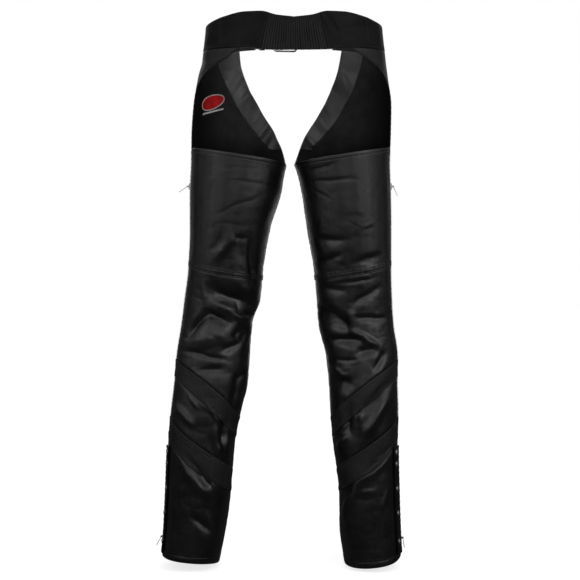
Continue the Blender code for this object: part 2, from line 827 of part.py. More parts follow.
def build_tab(name, place):
    """A flat tab hanging down its own Z from the eye round the pin."""
    clear = PIN_RADIUS + SEAM_GAP
    eye = clear + EYE_WALL
    eye_half = EAR_GAP / 2 - SEAM_GAP
    shoulder = -EAR_HALF - EAR_ABOVE_PIN
    half_outline = (
        (eye_half, 0),
        (eye_half, shoulder),
        (TAB_HALF * 0.75, shoulder - 1.6),
        (TAB_HALF, -TAB_LENGTH * 0.55),
        (TAB_HALF, -TAB_LENGTH + TAB_CORNER),
        (TAB_HALF - TAB_CORNER, -TAB_LENGTH),
    )
    outline = list(half_outline) + [(-x, z) for x, z in reversed(half_outline)]
    work = bmesh.new()
    near = [work.verts.new((x * MM, -TAB_THICK / 2 * MM, z * MM)) for x, z in outline]
    far = [work.verts.new((x * MM, TAB_THICK / 2 * MM, z * MM)) for x, z in outline]
    work.faces.new(near)
    work.faces.new(list(reversed(far)))
    for k in range(len(outline)):
        after = (k + 1) % len(outline)
        work.faces.new((near[k], far[k], far[after], near[after]))
    mesh = bpy.data.meshes.new(name)
    work.to_mesh(mesh)
    work.free()
    face_outwards(mesh)
    tab = add_object(name, mesh, NICKEL)
    tab.matrix_world = place
    join_into(tab, f"{name}_eye", rod_mesh(f"{name}_eye", 2 * eye_half, eye, 12), place)
    bore = cutter_of(f"{name}_bore", rod_mesh(f"{name}_bore", 2 * EAR_GAP, clear, 12))
    bore.matrix_world = place
    cut = tab.modifiers.new("bore", "BOOLEAN")
    cut.operation = "DIFFERENCE"
    cut.solver = "EXACT"
    cut.object = bore


# ---------------------------------------------------------------- label

LABEL_Z = -112.0
LABEL_X = 168.0
LABEL_WIDTH = 58.0
LABEL_HEIGHT = 34.0
LABEL_TILT = 14.0
LABEL_THICK = 0.8
LABEL_LIFT = 1.5


def build_label():
    """A plain woven label with clipped corners on the left lining."""
    leg = "left"
    half = LABEL_WIDTH / 2
    tall = LABEL_HEIGHT / 2
    middle = angle_at(leg, LABEL_X, LABEL_Z, 1)
    per_mm = math.degrees(1 / radius(leg, middle, LABEL_Z))
    shares = np.linspace(-1, 1, 7)[None, :]
    rows = np.array([-1, -0.66, 0, 0.66, 1])[:, None]
    narrow = np.array([0.82, 1, 1, 1, 0.82])[:, None]
    across = shares * half * narrow
    up = rows * tall + 0 * shares
    tilt = math.radians(LABEL_TILT)
    along = across * math.cos(tilt) - up * math.sin(tilt)
    z = LABEL_Z + across * math.sin(tilt) + up * math.cos(tilt)
    angle = middle + along * per_mm
    lift = -(LEATHER + SEAM_GAP + LINING + LABEL_LIFT)
    skin("label", leg, angle, z, lift, LABEL_THICK, RED_LABEL)


# ---------------------------------------------------------------- waistband and belt


def build_waist_side(leg):
    """The band over the hip: its bottom edge takes the hip piece's own columns."""
    hip_angle, _ = front_thigh_grid(leg)
    hip = hip_angle[0]
    back = ELASTIC_EDGE_ANGLE
    lower = np.concatenate([np.linspace(back[1], hip[0], 3)[:-1], hip, [WAIST_FRONT_ANGLE]])
    upper = np.concatenate([np.linspace(back[0], hip[0], 3)[:-1], hip, [WAIST_FRONT_ANGLE]])
    split = int(np.argmin(np.abs(lower - WAIST_SIDE_ANGLE)))
    for name, part in (("back", slice(0, split + 1)), ("side", slice(split, None))):
        low = lower[part].copy()
        top = upper[part].copy()
        gap = math.degrees(SEAM_GAP / 2 / 150)
        low[0] += gap
        top[0] += gap
        low[-1] -= gap
        top[-1] -= gap
        rows = np.linspace(0, 1, 4)[:, None]
        angle = top + (low - top) * rows
        z = WAIST_TOP(angle) + (WAIST_BOTTOM(angle) + SEAM_GAP / 2 - WAIST_TOP(angle)) * rows
        skin(f"waistband_{name}_{leg}", leg, angle, z, 0, WAISTBAND, BLACK_LEATHER)


def edge_angle(x):
    """Angle on the waist ring x from the centre plane, at the back."""
    return float(angle_at("right", x, -24.0, -1))


ELASTIC_EDGE_ANGLE = (edge_angle(ELASTIC_TOP_HALF), edge_angle(ELASTIC_BOTTOM_HALF))


def build_elastic():
    """The shirred back of the waistband: ribs that fan out towards its lower edge."""
    steps = 2 * ELASTIC_RIBS
    share = np.linspace(-1, 1, steps + 1)[None, :]
    rows = np.linspace(0, 1, 4)[:, None]
    top_half = 90 + ELASTIC_EDGE_ANGLE[0]
    low_half = 90 + ELASTIC_EDGE_ANGLE[1]
    half = top_half + (low_half - top_half) * rows - math.degrees(SEAM_GAP / 2 / 120)
    angle = -90 + share * half
    distance = -90 + np.abs(share * half)
    z = WAIST_TOP(distance) + (WAIST_BOTTOM(distance) - WAIST_TOP(distance)) * rows
    crest = np.where(np.arange(steps + 1) % 2 == 1, 0.0, -RIB_DEPTH)[None, :] + 0 * rows
    outside = surface("right", angle, z, crest)
    inside = surface("right", angle, z, -WAISTBAND)
    wall("waistband_elastic", outside, inside, MATTE_LEATHER)


BUCKLE_HEEL_X = -41.0
BUCKLE_REACH = 46.0
BUCKLE_WIRE = 1.8
BUCKLE_HALF_TALL = 18.6
BUCKLE_CORNER = 5.0
PRONG_HALF = 1.6
PRONG_THICK = 2.0
STRAP_CLEARANCE = 0.7  # between the tongue and the strap that it lies on
BELT_MIDDLE = (BELT_LOW + BELT_HIGH) / 2
TONGUE_END_X = -96.0
TONGUE_POINT = 14.0  # length of the tapered end
TONGUE_TIP_SHARE = 0.45  # width of the tip as a share of the strap
KEEPER_X = -66.0
KEEPER_HALF = 5.0
KEEPER_THICK = 1.4
KEEPER_GAP = 0.5
TONGUE_OVER = BELT_THICK + STRAP_CLEARANCE
# The prong's slot in the tongue: distances from the heel bar
SLOT_START = 5.0
SLOT_END = 13.4
SLOT_HALF = 2.1


def belt_points(x, z, lift):
    """Points on the front of the waist ring by their place across the body, moved out by lift."""
    x, z, lift = np.broadcast_arrays(x, z, lift)
    angle = np.where(x >= 0, angle_at("right", x, z, 1), 180 - angle_at("right", -x, z, 1))
    return surface("right", angle, z, lift)


def tongue_rise(x):
    """How far the tongue's outer face stands off the waist ring: it climbs over the heel bar."""
    foot = BUCKLE_HEEL_X + BUCKLE_REACH - 8
    return TONGUE_OVER * (1 - soft_step(x, BUCKLE_HEEL_X + 4, foot))


def build_belt():
    """The strap from the wearer's right runs under the buckle's free rail and over its heel bar."""
    rows = np.linspace(BELT_HIGH, BELT_LOW, 3)[:, None]
    joint_angle = WAIST_FRONT_ANGLE + math.degrees(SEAM_GAP / 2 / 130)
    front_x = surface("right", joint_angle, rows)[..., 0]
    heel_side = BUCKLE_HEEL_X - BUCKLE_WIRE - SEAM_GAP
    short = -front_x + (heel_side + front_x) * np.linspace(0, 1, 5)[None, :]
    outside = belt_points(short, rows, 0.0)
    inside = belt_points(short, rows, -BELT_THICK)
    wall("belt_buckle_strap", outside, inside, BLACK_LEATHER)
    long = TONGUE_END_X + (front_x - TONGUE_END_X) * np.linspace(0, 1, 21)[None, :]
    rise = tongue_rise(long)
    full = soft_step(long, TONGUE_END_X, TONGUE_END_X + TONGUE_POINT)
    pointed = BELT_MIDDLE + (rows - BELT_MIDDLE) * (TONGUE_TIP_SHARE + (1 - TONGUE_TIP_SHARE) * full)
    outside = belt_points(long, pointed, rise)
    inside = belt_points(long, pointed, rise - BELT_THICK)
    tongue = wall("belt_tongue", outside, inside, BLACK_LEATHER)
    cut_slot(tongue)
    build_buckle()
    build_prong()
    build_keeper()


def cut_slot(tongue):
    """The long hole that the prong comes up through, square to the strap."""
    middle = BUCKLE_HEEL_X + (SLOT_START + SLOT_END) / 2
    straight = (SLOT_END - SLOT_START) / 2 - SLOT_HALF
    here = Vector(belt_points(middle, BELT_MIDDLE, 0.0))
    out = (Vector(belt_points(middle, BELT_MIDDLE, 1.0)) - here).normalized()
    along = Vector((out.y, -out.x, 0))
    turns = [math.radians(-90 + 36 * k) for k in range(6)]
    outline = [(straight + SLOT_HALF * math.cos(t), SLOT_HALF * math.sin(t)) for t in turns]
    outline += [(-x, -z) for x, z in outline]
    work = bmesh.new()
    ends = []
    for depth in (-BELT_THICK, TONGUE_OVER + BELT_THICK):
        centre = here + out * depth
        points = [centre + along * x + Vector((0, 0, z)) for x, z in outline]
        ends.append([work.verts.new(point * MM) for point in points])
    work.faces.new(ends[0])
    work.faces.new(list(reversed(ends[1])))
    for k in range(len(outline)):
        after = (k + 1) % len(outline)
        work.faces.new((ends[0][k], ends[1][k], ends[1][after], ends[0][after]))
    mesh = bpy.data.meshes.new("slot")
    work.to_mesh(mesh)
    work.free()
    face_outwards(mesh)
    cut = tongue.modifiers.new("slot", "BOOLEAN")
    cut.operation = "DIFFERENCE"
    cut.solver = "EXACT"
    cut.object = cutter_of("slot", mesh)


def rounded_frame(half_wide, half_tall, corner, steps):
    """Points round a rectangle with round corners, counter-clockwise."""
    points = []
    for k, (sx, sy) in enumerate(((1, 1), (-1, 1), (-1, -1), (1, -1))):
        x = sx * (half_wide - corner)
        y = sy * (half_tall - corner)
        for s in range(steps + 1):
            turn = math.radians(90 * k + 90 * s / steps)
            points.append((x + corner * math.cos(turn), y + corner * math.sin(turn)))
    return points


RAIL_LIFT = 2 * SEAM_GAP + BUCKLE_WIRE


def build_buckle():
    """A plain frame: its heel bar lies beside the short strap, its free rail over the tongue."""
    middle_x = BUCKLE_HEEL_X + BUCKLE_REACH / 2
    heel_lift = -BELT_THICK / 2
    sides = 8
    turns = [math.tau * s / sides for s in range(sides)]
    centres = []
    for x, z in rounded_frame(BUCKLE_REACH / 2, BUCKLE_HALF_TALL, BUCKLE_CORNER, 3):
        share = (x + BUCKLE_REACH / 2) / BUCKLE_REACH
        lift = heel_lift + (RAIL_LIFT - heel_lift) * share
        centres.append(Vector(belt_points(middle_x + x, BELT_MIDDLE + z, lift)))
    count = len(centres)
    work = bmesh.new()
    loops = []
    for k, centre in enumerate(centres):
        ahead = (centres[(k + 1) % count] - centres[k - 1]).normalized()
        side = ahead.cross(Vector((0, 1, 0))).normalized()
        up = side.cross(ahead).normalized()
        spokes = [(side * math.cos(turn) + up * math.sin(turn)) * BUCKLE_WIRE for turn in turns]
        loops.append([work.verts.new((centre + spoke) * MM) for spoke in spokes])
    for k in range(count):
        here, there = loops[k], loops[(k + 1) % count]
        for s in range(sides):
            after = (s + 1) % sides
            work.faces.new((here[s], here[after], there[after], there[s]))
    mesh = bpy.data.meshes.new("buckle_frame")
    work.to_mesh(mesh)
    work.free()
    face_outwards(mesh)
    mesh.shade_smooth()
    add_object("buckle_frame", mesh, NICKEL)


def build_prong():
    """The prong: from the heel bar up through the tongue's slot and along to the free rail."""
    rail_x = BUCKLE_HEEL_X + BUCKLE_REACH
    over_slot = TONGUE_OVER + 0.5
    on_rail = RAIL_LIFT + BUCKLE_WIRE + SEAM_GAP
    path = (
        (BUCKLE_HEEL_X + BUCKLE_WIRE + SEAM_GAP, -BELT_THICK / 2 - PRONG_THICK / 2),
        (BUCKLE_HEEL_X + SLOT_START, -BELT_THICK / 2 - PRONG_THICK / 2 + 0.3),
        (BUCKLE_HEEL_X + SLOT_END, over_slot),
        (BUCKLE_HEEL_X + SLOT_END + 4, over_slot + 0.4),
        (rail_x - 10, on_rail + 0.1),
        (rail_x + BUCKLE_WIRE, on_rail),
    )
    along = np.array([[x for x, _ in path]])
    lift = np.array([[low for _, low in path]])
    heights = BELT_MIDDLE + np.array([[PRONG_HALF], [-PRONG_HALF]])
    outside = belt_points(along, heights, lift + PRONG_THICK)
    inside = belt_points(along, heights, lift)
    wall("buckle_prong", outside, inside, NICKEL)


def build_keeper():
    """A leather loop round both straps."""
    low = BELT_LOW - KEEPER_GAP
    high = BELT_HIGH + KEEPER_GAP
    under = -BELT_THICK - KEEPER_GAP
    over = TONGUE_OVER + KEEPER_GAP
    thick = KEEPER_THICK
    inner = ((low, under), (high, under), (high, over), (low, over))
    outer = (
        (low - thick, under - thick),
        (high + thick, under - thick),
        (high + thick, over + thick),
        (low - thick, over + thick),
    )
    work = bmesh.new()
    loops = []
    for x in (KEEPER_X - KEEPER_HALF, KEEPER_X, KEEPER_X + KEEPER_HALF):
        pair = []
        for corners in (inner, outer):
            points = [Vector(belt_points(x, z, lift)) for z, lift in corners]
            pair.append([work.verts.new(point * MM) for point in points])
        loops.append(pair)
    for here, there in zip(loops, loops[1:]):
        for k in range(4):
            after = (k + 1) % 4
            work.faces.new((here[0][k], there[0][k], there[0][after], here[0][after]))
            work.faces.new((here[1][k], here[1][after], there[1][after], there[1][k]))
    for end in (loops[0], loops[-1]):
        for k in range(4):
            after = (k + 1) % 4
            work.faces.new((end[0][k], end[0][after], end[1][after], end[1][k]))
    mesh = bpy.data.meshes.new("belt_keeper")
    work.to_mesh(mesh)
    work.free()
    face_outwards(mesh)
    add_object("belt_keeper", mesh, BLACK_LEATHER)


# ---------------------------------------------------------------- the whole garment


def main():
    for obj in list(bpy.data.objects):
        bpy.data.objects.remove(obj)
    build_elastic()
    build_belt()
    for leg in ("left", "right"):
        build_waist_side(leg)
        build_front(leg)
        build_back(leg)
        build_zip(leg)
        build_flap(leg)
        build_slider(leg, "upper", UPPER_SLIDER_Z)
        build_slider(leg, "lower", LOWER_SLIDER_Z)
    build_label()


main()
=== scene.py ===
"""Looks of black leather motorcycle chaps in the hollow form they have when worn.

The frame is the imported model: +Z up, the wearer faces +Y, +X is the wearer's right, the origin is the
middle of the waistband ring. Every cloth piece is a thin closed shell on the same leg form as its solid.
Tables and shapes are in millimetres and degrees, MM turns them into metres.
"""

import json
import math
from typing import NamedTuple

import bpy
import numpy as np
from mathutils import Matrix, Vector

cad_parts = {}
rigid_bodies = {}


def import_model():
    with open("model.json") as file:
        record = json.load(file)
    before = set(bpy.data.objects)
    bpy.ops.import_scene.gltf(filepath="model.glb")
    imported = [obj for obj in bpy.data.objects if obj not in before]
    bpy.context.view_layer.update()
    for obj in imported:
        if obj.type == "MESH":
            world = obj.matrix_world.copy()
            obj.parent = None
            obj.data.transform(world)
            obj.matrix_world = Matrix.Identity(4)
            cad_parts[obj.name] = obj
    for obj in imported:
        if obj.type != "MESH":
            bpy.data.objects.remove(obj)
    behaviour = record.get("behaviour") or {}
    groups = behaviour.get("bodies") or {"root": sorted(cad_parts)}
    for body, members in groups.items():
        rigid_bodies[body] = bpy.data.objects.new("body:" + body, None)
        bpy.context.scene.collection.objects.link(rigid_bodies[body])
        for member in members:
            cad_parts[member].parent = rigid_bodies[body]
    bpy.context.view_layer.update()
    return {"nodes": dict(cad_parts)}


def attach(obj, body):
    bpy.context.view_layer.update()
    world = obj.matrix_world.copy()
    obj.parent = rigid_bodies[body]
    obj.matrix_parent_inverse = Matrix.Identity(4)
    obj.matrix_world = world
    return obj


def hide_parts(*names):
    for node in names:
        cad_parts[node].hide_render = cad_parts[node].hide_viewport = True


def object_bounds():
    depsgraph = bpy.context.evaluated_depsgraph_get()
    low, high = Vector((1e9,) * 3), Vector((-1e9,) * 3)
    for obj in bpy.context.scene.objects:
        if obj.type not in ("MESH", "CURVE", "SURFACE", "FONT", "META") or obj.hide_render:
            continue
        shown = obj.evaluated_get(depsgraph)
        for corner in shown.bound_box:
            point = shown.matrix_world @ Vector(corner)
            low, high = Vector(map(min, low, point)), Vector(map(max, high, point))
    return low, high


MM = 0.001
ROUNDNESS = 2.25  # exponent of the leg's rings: 2 is an ellipse, more is boxier

# Thicknesses and seams, as in the solids
LEATHER = 1.8
LINING = 0.8
LINING_LIFT = -2.4
FACING = 0.9
WAISTBAND = 3.0
SEAM_GAP = 0.3
BAND_PROUD = 0.8
CROTCH_Z = -244.0
INSEAM_ANGLE = 187.0
BACK_INSEAM_ANGLE = INSEAM_ANGLE - 360
FACING_END_Z = -206.0

# Side zip
ZIP_TOP_Z = -218.0
ZIP_BOTTOM_Z = -1008.0
ZIP_HALF = 3.2
UPPER_SLIDER_Z = -290.0
TOP_SPREAD = 2.0

# Snap flap
FLAP_TOP_Z = -803.0
FLAP_BOTTOM_Z = -1013.0
FLAP_WIDTH = 31.0
FLAP_LIFT = BAND_PROUD + 0.4
FLAP_THICK = 2.0
SNAP_HEIGHTS = (-815.0, -838.0, -886.0, -934.0, -989.0)
SNAP_FROM_EDGE = 8.5

# Belt closure
BELT_LOW = 3.0
BELT_HIGH = 35.0
BELT_THICK = 3.0
BELT_MIDDLE = (BELT_LOW + BELT_HIGH) / 2

LEGS = ("left", "right")
SIGN = {"left": -1.0, "right": 1.0}


class Fold(NamedTuple):
    """A trough (depth above 0) or ridge (below 0), seen square on from behind or from the front."""

    x: float  # distance out from the centre plane
    z: float
    length: float
    tilt: float  # degrees from the outward direction towards up
    width: float
    depth: float
    skew: float = 0.0  # above 0 makes the upper wall the steep one


# Sides of the leg's rings, as distances out from the centre plane:
# height, left leg's outer and inner side, right leg's outer and inner side
SECTIONS = (
    (44, 174, -174, 174, -174),
    (-38, 183, -183, 183, -183),
    (-42, 183.4, -183.4, 183.4, -183.4),
    (-70, 191, -150, 187, -148),
    (-130, 200.5, -80, 194, -86),
    (-190, 204.5, -24, 193, -38),
    (-244, 205, 14, 191, 0),
    (-308, 207.5, 27, 193, 16.5),
    (-372, 207.5, 47, 194, 25.5),
    (-452, 211, 61, 194, 39),
    (-516, 219, 67, 196, 45.5),
    (-564, 225, 83, 199, 49),
    (-628, 234.5, 88, 207, 63),
    (-676, 238, 91, 206, 68),
    (-740, 245, 106, 207, 72),
    (-804, 250, 117.5, 205.5, 77.5),
    (-900, 253.5, 125.5, 207, 89),
    (-964, 256.5, 134, 209, 90),
    (-1042, 263, 150, 213, 101),
)
# Depth of the rings, front to back: height, centre, half depth
DEPTHS = (
    (44, 0, 118),
    (-38, 0, 120),
    (-130, 0, 119),
    (-190, 2, 113),
    (-244, 2, 107),
    (-308, 4, 103),
    (-404, 8, 94),
    (-516, 12, 82),
    (-620, 4, 77),
    (-720, -6, 78),
    (-820, -12, 79),
    (-920, -16, 80),
    (-1042, -18, 84),
)

# Distance of the front opening's edge from the centre plane: height, left leg, right leg
FRONT_EDGE = (
    (2, 114, 100),
    (-36, 110, 93),
    (-69, 98, 83),
    (-102, 81, 68),
    (-135, 62, 50),
    (-168, 41, 29),
    (-187, 33, 19),
    (-206, 25, 12),
    (-225, 20, 6),
    (-244, 16.2, 0.2),
)
# Width of the facing inside that edge: height, width
FACING_WIDTH = ((2, 46), (-100, 46), (-150, 44), (-180, 36), (-206, 24), (-260, 24), (-480, 24))
# Angle of the hip piece's back edge: height, left leg, right leg
HIP_EDGE = (
    (-24, -46, -45),
    (-55, -30, -26),
    (-86, -16, -14),
    (-108, -10, -9),
    (-150, -7, -7),
    (-212, -7, -7),
)
# Angle of the side zip: height, left leg, right leg
ZIP_ANGLE = ((-200, -10, -10), (-450, -9, -11), (-700, -5, -12), (-820, -1, -13), (-1042, 1, -14))

# Heights of the seams across a leg: outer side, middle, inner side
BACK_SEAMS = {
    "seat": (-214, -233, -247),
    "thigh": (-448, -468, -477),
    "band_upper_top": (-632, -681, -748),
    "band_upper_low": (-666, -722, -788),
    "band_lower_top": (-745, -800, -850),
    "band_lower_low": (-786, -850, -894),
    "hem_left": (-1019, -1025, -1034),
    "hem_right": (-1018, -1034, -1036),
}
FRONT_SEAMS = {
    "thigh": (-448, -452, -477),
    "hem_left": (-1019, -1022, -1034),
    "hem_right": (-1018, -1022, -1036),
}

# Heights of the waistband's edges by the angle round the body: angle, top, bottom
WAIST_EDGES = (
    (-90, 30, -34),
    (-74, 34, -33.5),
    (-60, 42, -31.5),
    (-47, 42.5, -27.5),
    (-30, 36.5, -25),
    (-18, 30.5, -23.5),
    (0, 26.5, -21),
    (25, 29, -11),
    (48, 31, -1),
    (60, 33, 2),
    (90, 35, 3),
)
ELASTIC_TOP_HALF = 50.0
ELASTIC_BOTTOM_HALF = 65.0
ELASTIC_RIBS = 25
RIB_DEPTH = 1.8
WAIST_SIDE_ANGLE = -28.0
WAIST_FRONT_ANGLE = 54.0

# Main folds, as in the solids. The rows of this table and the next ones are Folds
BACK_FOLDS = {
    "left": (
        (116, -511, 104, 20, 17, 11, 0.35),
        (120, -537, 84, 27, 11, -4),
        (190, -561, 60, -51, 10, 6, 0.3),
        (152, -548, 46, 25, 10, 6, 0.3),
        (160, -589, 84, 0, 22, -4),
        (104, -577, 38, -36, 9, 6, 0.2),
        (122, -607, 38, -20, 8, 5, 0.2),
        (110, -689, 72, -73, 10, 6),
        (136, -414, 58, -59, 10, -4),
        (84, -434, 84, 88, 8, 4),
        (138, -772, 54, -68, 10, 6),
        (150, -792, 58, 85, 8, -4),
        (216, -739, 48, 48, 8, -4),
        (185, -848, 64, 50, 9, 5, 0.2),
        (190, -868, 76, 52, 12, -6),
        (177, -951, 54, 38, 9, 4),
    ),
    "right": (
        (72, -397, 56, -2, 9, 5, 0.4),
        (148, -433, 50, 21, 9, 4, 0.3),
        (78, -493, 42, -10, 8, 4, 0.3),
        (145, -505, 60, 28, 8, 4, 0.3),
        (82, -550, 70, -33, 19, 9, 0.4),
        (149, -549, 66, 0, 8, 4, 0.3),
        (112, -558, 40, 88, 8, -5),
        (140, -593, 62, -29, 8, -5),
        (101, -592, 72, 0, 10, 6, 0.3),
        (144, -612, 40, 12, 10, 5, 0.2),
        (170, -633, 40, 60, 8, 4),
        (92, -674, 44, 0, 14, 6, 0.3),
        (161, -702, 76, 42, 9, 6),
        (158, -746, 84, 58, 10, -6),
        (106, -750, 62, 88, 12, 6),
        (168, -822, 62, 45, 8, 4),
        (160, -842, 64, 45, 9, -5),
        (104, -917, 80, 70, 9, -5),
    ),
}
FRONT_FOLDS = {
    "left": (
        (150, -286, 90, 24, 12, 4, 0.2),
        (128, -372, 96, -14, 12, 4, 0.2),
        (150, -500, 90, 10, 13, 5, 0.3),
        (142, -548, 76, -12, 11, 5, 0.3),
        (172, -612, 84, 18, 12, 5, 0.2),
        (170, -706, 90, 34, 13, 5),
        (192, -802, 80, -26, 12, 4),
        (196, -908, 92, 16, 13, 5),
    ),
    "right": (
        (92, -300, 90, 20, 12, 4, 0.2),
        (118, -388, 92, -16, 12, 4, 0.2),
        (112, -496, 88, -9, 13, 5, 0.3),
        (132, -542, 80, 14, 11, 5, 0.3),
        (128, -606, 86, -20, 12, 5, 0.2),
        (140, -694, 88, -32, 13, 5),
        (144, -796, 84, 24, 12, 4),
        (150, -902, 90, -15, 13, 5),
    ),
}

# Finer creases of the thin leather
BACK_CREASES = {
    "left": (
        (120, -258, 100, 3, 3, 1.0),
        (140, -272, 80, -5, 3, 0.9),
        (95, -286, 90, 6, 3, 1.0),
        (116, -333, 88, -22, 3, 1.5),
        (155, -409, 38, -47, 6, 1.8),
        (105, -395, 22, 0, 7, 3),
        (105, -420, 40, 80, 12, 3),
        (99, -541, 40, 12, 6, 4),
        (124, -499, 92, 16, 13, 3.5, 0.4),
        (176, -504, 48, 84, 5, -3),
        (189, -563, 56, -51, 6, 4, 0.5),
        (150, -546, 46, 25, 7, 4, 0.5),
        (94, -586, 36, -52, 8, 4.5),
        (98, -662, 34, -30, 6, 3),
        (88, -700, 44, -70, 8, 4),
        (177, -624, 88, 11, 5, 3),
        (161, -653, 45, 0, 7, 4),
        (195, -714, 26, 52, 4, -2),
        (163, -730, 42, 54, 4, -3),
        (161, -803, 40, 88, 5, 3),
        (131, -804, 54, 88, 6, -3),
        (152, -961, 50, 58, 6, -2.4),
    ),
    "right": (
        (54, -260, 48, 12, 3, 1.5),
        (80, -284, 86, 3, 4, 2),
        (52, -310, 36, -29, 3, 1.5),
        (143, -370, 34, 28, 5, -1.4),
        (72, -434, 42, 20, 7, 3.5),
        (118, -478, 80, 8, 4, 3),
        (101, -633, 40, 5, 4, 3),
        (91, -660, 46, -30, 5, -2.5),
        (131, -750, 50, 88, 5, -4),
        (92, -795, 32, 54, 6, -4),
        (144, -886, 30, 10, 6, -2),
        (175, -905, 44, 70, 5, -2),
    ),
}
FRONT_CREASES = {
    "left": (
        (110, -262, 90, 8, 4, 1.5),
        (160, -330, 60, -20, 4, 2),
        (160, -474, 80, 6, 5, 3),
        (118, -525, 60, 24, 6, 3),
        (185, -585, 70, -14, 6, 3),
        (165, -655, 60, 40, 5, -3),
        (190, -745, 50, 70, 6, -3),
        (204, -850, 60, 30, 5, 3),
        (176, -960, 50, -30, 5, 2.5),
    ),
    "right": (
        (66, -268, 84, -6, 4, 1.5),
        (134, -340, 64, 18, 4, 2),
        (100, -468, 76, -8, 5, 3),
        (146, -520, 58, -22, 6, 3),
        (104, -574, 70, 12, 6, 3),
        (150, -650, 60, -38, 5, -3),
        (116, -748, 54, 72, 6, -3),
        (158, -846, 62, -28, 5, 3),
        (126, -956, 50, 26, 5, 2.5),
    ),
}
# Soft waves of the hips, across the front opening's facing, and of the waistband beside the elastic
HIP_FOLDS = {
    "left": (
        (118, -62, 70, -70, 12, 3.0),
        (92, -92, 60, -48, 9, -3.6),
        (84, -128, 60, -58, 11, 4.0),
        (62, -165, 52, -50, 8, -3.6),
        (50, -196, 40, -52, 9, 3.0),
        (158, -150, 90, -80, 20, 2.0),
    ),
    "right": (
        (104, -58, 60, -75, 10, -3.0),
        (90, -88, 70, -52, 12, 3.6),
        (70, -120, 56, -56, 9, -3.6),
        (58, -150, 60, -48, 11, 4.0),
        (36, -190, 44, -52, 8, -3.0),
        (146, -160, 90, -84, 20, 2.0),
    ),
}
WAIST_FOLDS = {
    "left": (
        (128, 22, 70, 12, 9, -2.2),
        (84, 12, 44, 60, 6, 1.6),
        (150, -6, 60, -20, 10, 2.2),
        (104, -8, 50, 24, 9, -1.6),
    ),
    "right": (
        (61, 20, 34, -62, 4.5, -2.2),
        (73, 16, 32, -60, 4.0, 1.8),
        (84, 14, 40, -66, 5, -1.8),
        (122, 12, 66, 14, 9, 1.8),
        (108, -12, 60, -12, 9, -1.6),
    ),
}
# Depth of the irregular crumple down the leg: height, depth
CRUMPLE = (
    (-244, 0.15),
    (-300, 0.5),
    (-430, 0.6),
    (-485, 0.8),
    (-560, 1.0),
    (-660, 0.8),
    (-730, 0.6),
    (-800, 0.7),
    (-880, 0.7),
    (-960, 0.5),
    (-1036, 0.3),
)

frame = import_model()


# ---------------------------------------------------------------- curves and the leg form


def smooth(keys, values):
    """A smooth curve through the given points that never overshoots them, as a function of the key."""
    order = np.argsort(keys)
    xs = np.array(keys, float)[order]
    ys = np.array(values, float)[order]
    steps = np.diff(xs)
    slopes = np.diff(ys) / steps
    tangents = np.zeros(len(xs))
    tangents[0] = slopes[0]
    tangents[-1] = slopes[-1]
    for i in range(1, len(xs) - 1):
        before, after = slopes[i - 1], slopes[i]
        if before * after > 0:
            tangents[i] = 2 * before * after / (before + after)

    def curve(key):
        key = np.clip(key, xs[0], xs[-1])
        i = np.clip(np.searchsorted(xs, key) - 1, 0, len(steps) - 1)
        h = steps[i]
        t = (key - xs[i]) / h
        return (
            ys[i] * (1 + 2 * t) * (1 - t) ** 2
            + tangents[i] * h * t * (1 - t) ** 2
            + ys[i + 1] * t * t * (3 - 2 * t)
            + tangents[i + 1] * h * t * t * (t - 1)
        )

    return curve


def column_curve(rows, column):
    return smooth([row[0] for row in rows], [row[column] for row in rows])


OUTER = {leg: column_curve(SECTIONS, 2 * k - 1) for k, leg in enumerate(LEGS, 1)}
INNER = {leg: column_curve(SECTIONS, 2 * k) for k, leg in enumerate(LEGS, 1)}
CENTRE_Y = column_curve(DEPTHS, 1)
HALF_DEPTH = column_curve(DEPTHS, 2)
FRONT_EDGE_X = {leg: column_curve(FRONT_EDGE, k) for k, leg in enumerate(LEGS, 1)}
HIP_EDGE_ANGLE = {leg: column_curve(HIP_EDGE, k) for k, leg in enumerate(LEGS, 1)}
ZIP_LINE = {leg: column_curve(ZIP_ANGLE, k) for k, leg in enumerate(LEGS, 1)}
FACING_ACROSS = column_curve(FACING_WIDTH, 1)
WAIST_TOP = column_curve(WAIST_EDGES, 1)
WAIST_BOTTOM = column_curve(WAIST_EDGES, 2)
CRUMPLE_DEPTH = column_curve(CRUMPLE, 1)


def ring(leg, z):
    """Centre and half sizes of the ring at height z."""
    outer = OUTER[leg](z)
    inner = INNER[leg](z)
    return (outer + inner) / 2, (outer - inner) / 2, CENTRE_Y(z), HALF_DEPTH(z)


def radius(leg, angle, z):
    _, a, _, b = ring(leg, z)
    turn = np.radians(angle)
    across = np.abs(np.cos(turn) / a) ** ROUNDNESS
    along = np.abs(np.sin(turn) / b) ** ROUNDNESS
    return (across + along) ** (-1 / ROUNDNESS)


def angle_at(leg, x, z, side):
    """Angle at which the ring is x out from the centre plane, on the front (side 1) or the back (-1)."""
    centre, a, _, b = ring(leg, z)
    across = np.clip((x - centre) / a, -1, 1)
    along = (1 - np.abs(across) ** ROUNDNESS) ** (1 / ROUNDNESS)
    return np.degrees(np.arctan2(side * b * along, a * across))


def soft_step(value, low, high):
    t = np.clip((value - low) / (high - low), 0, 1)
    return t * t * (3 - 2 * t)


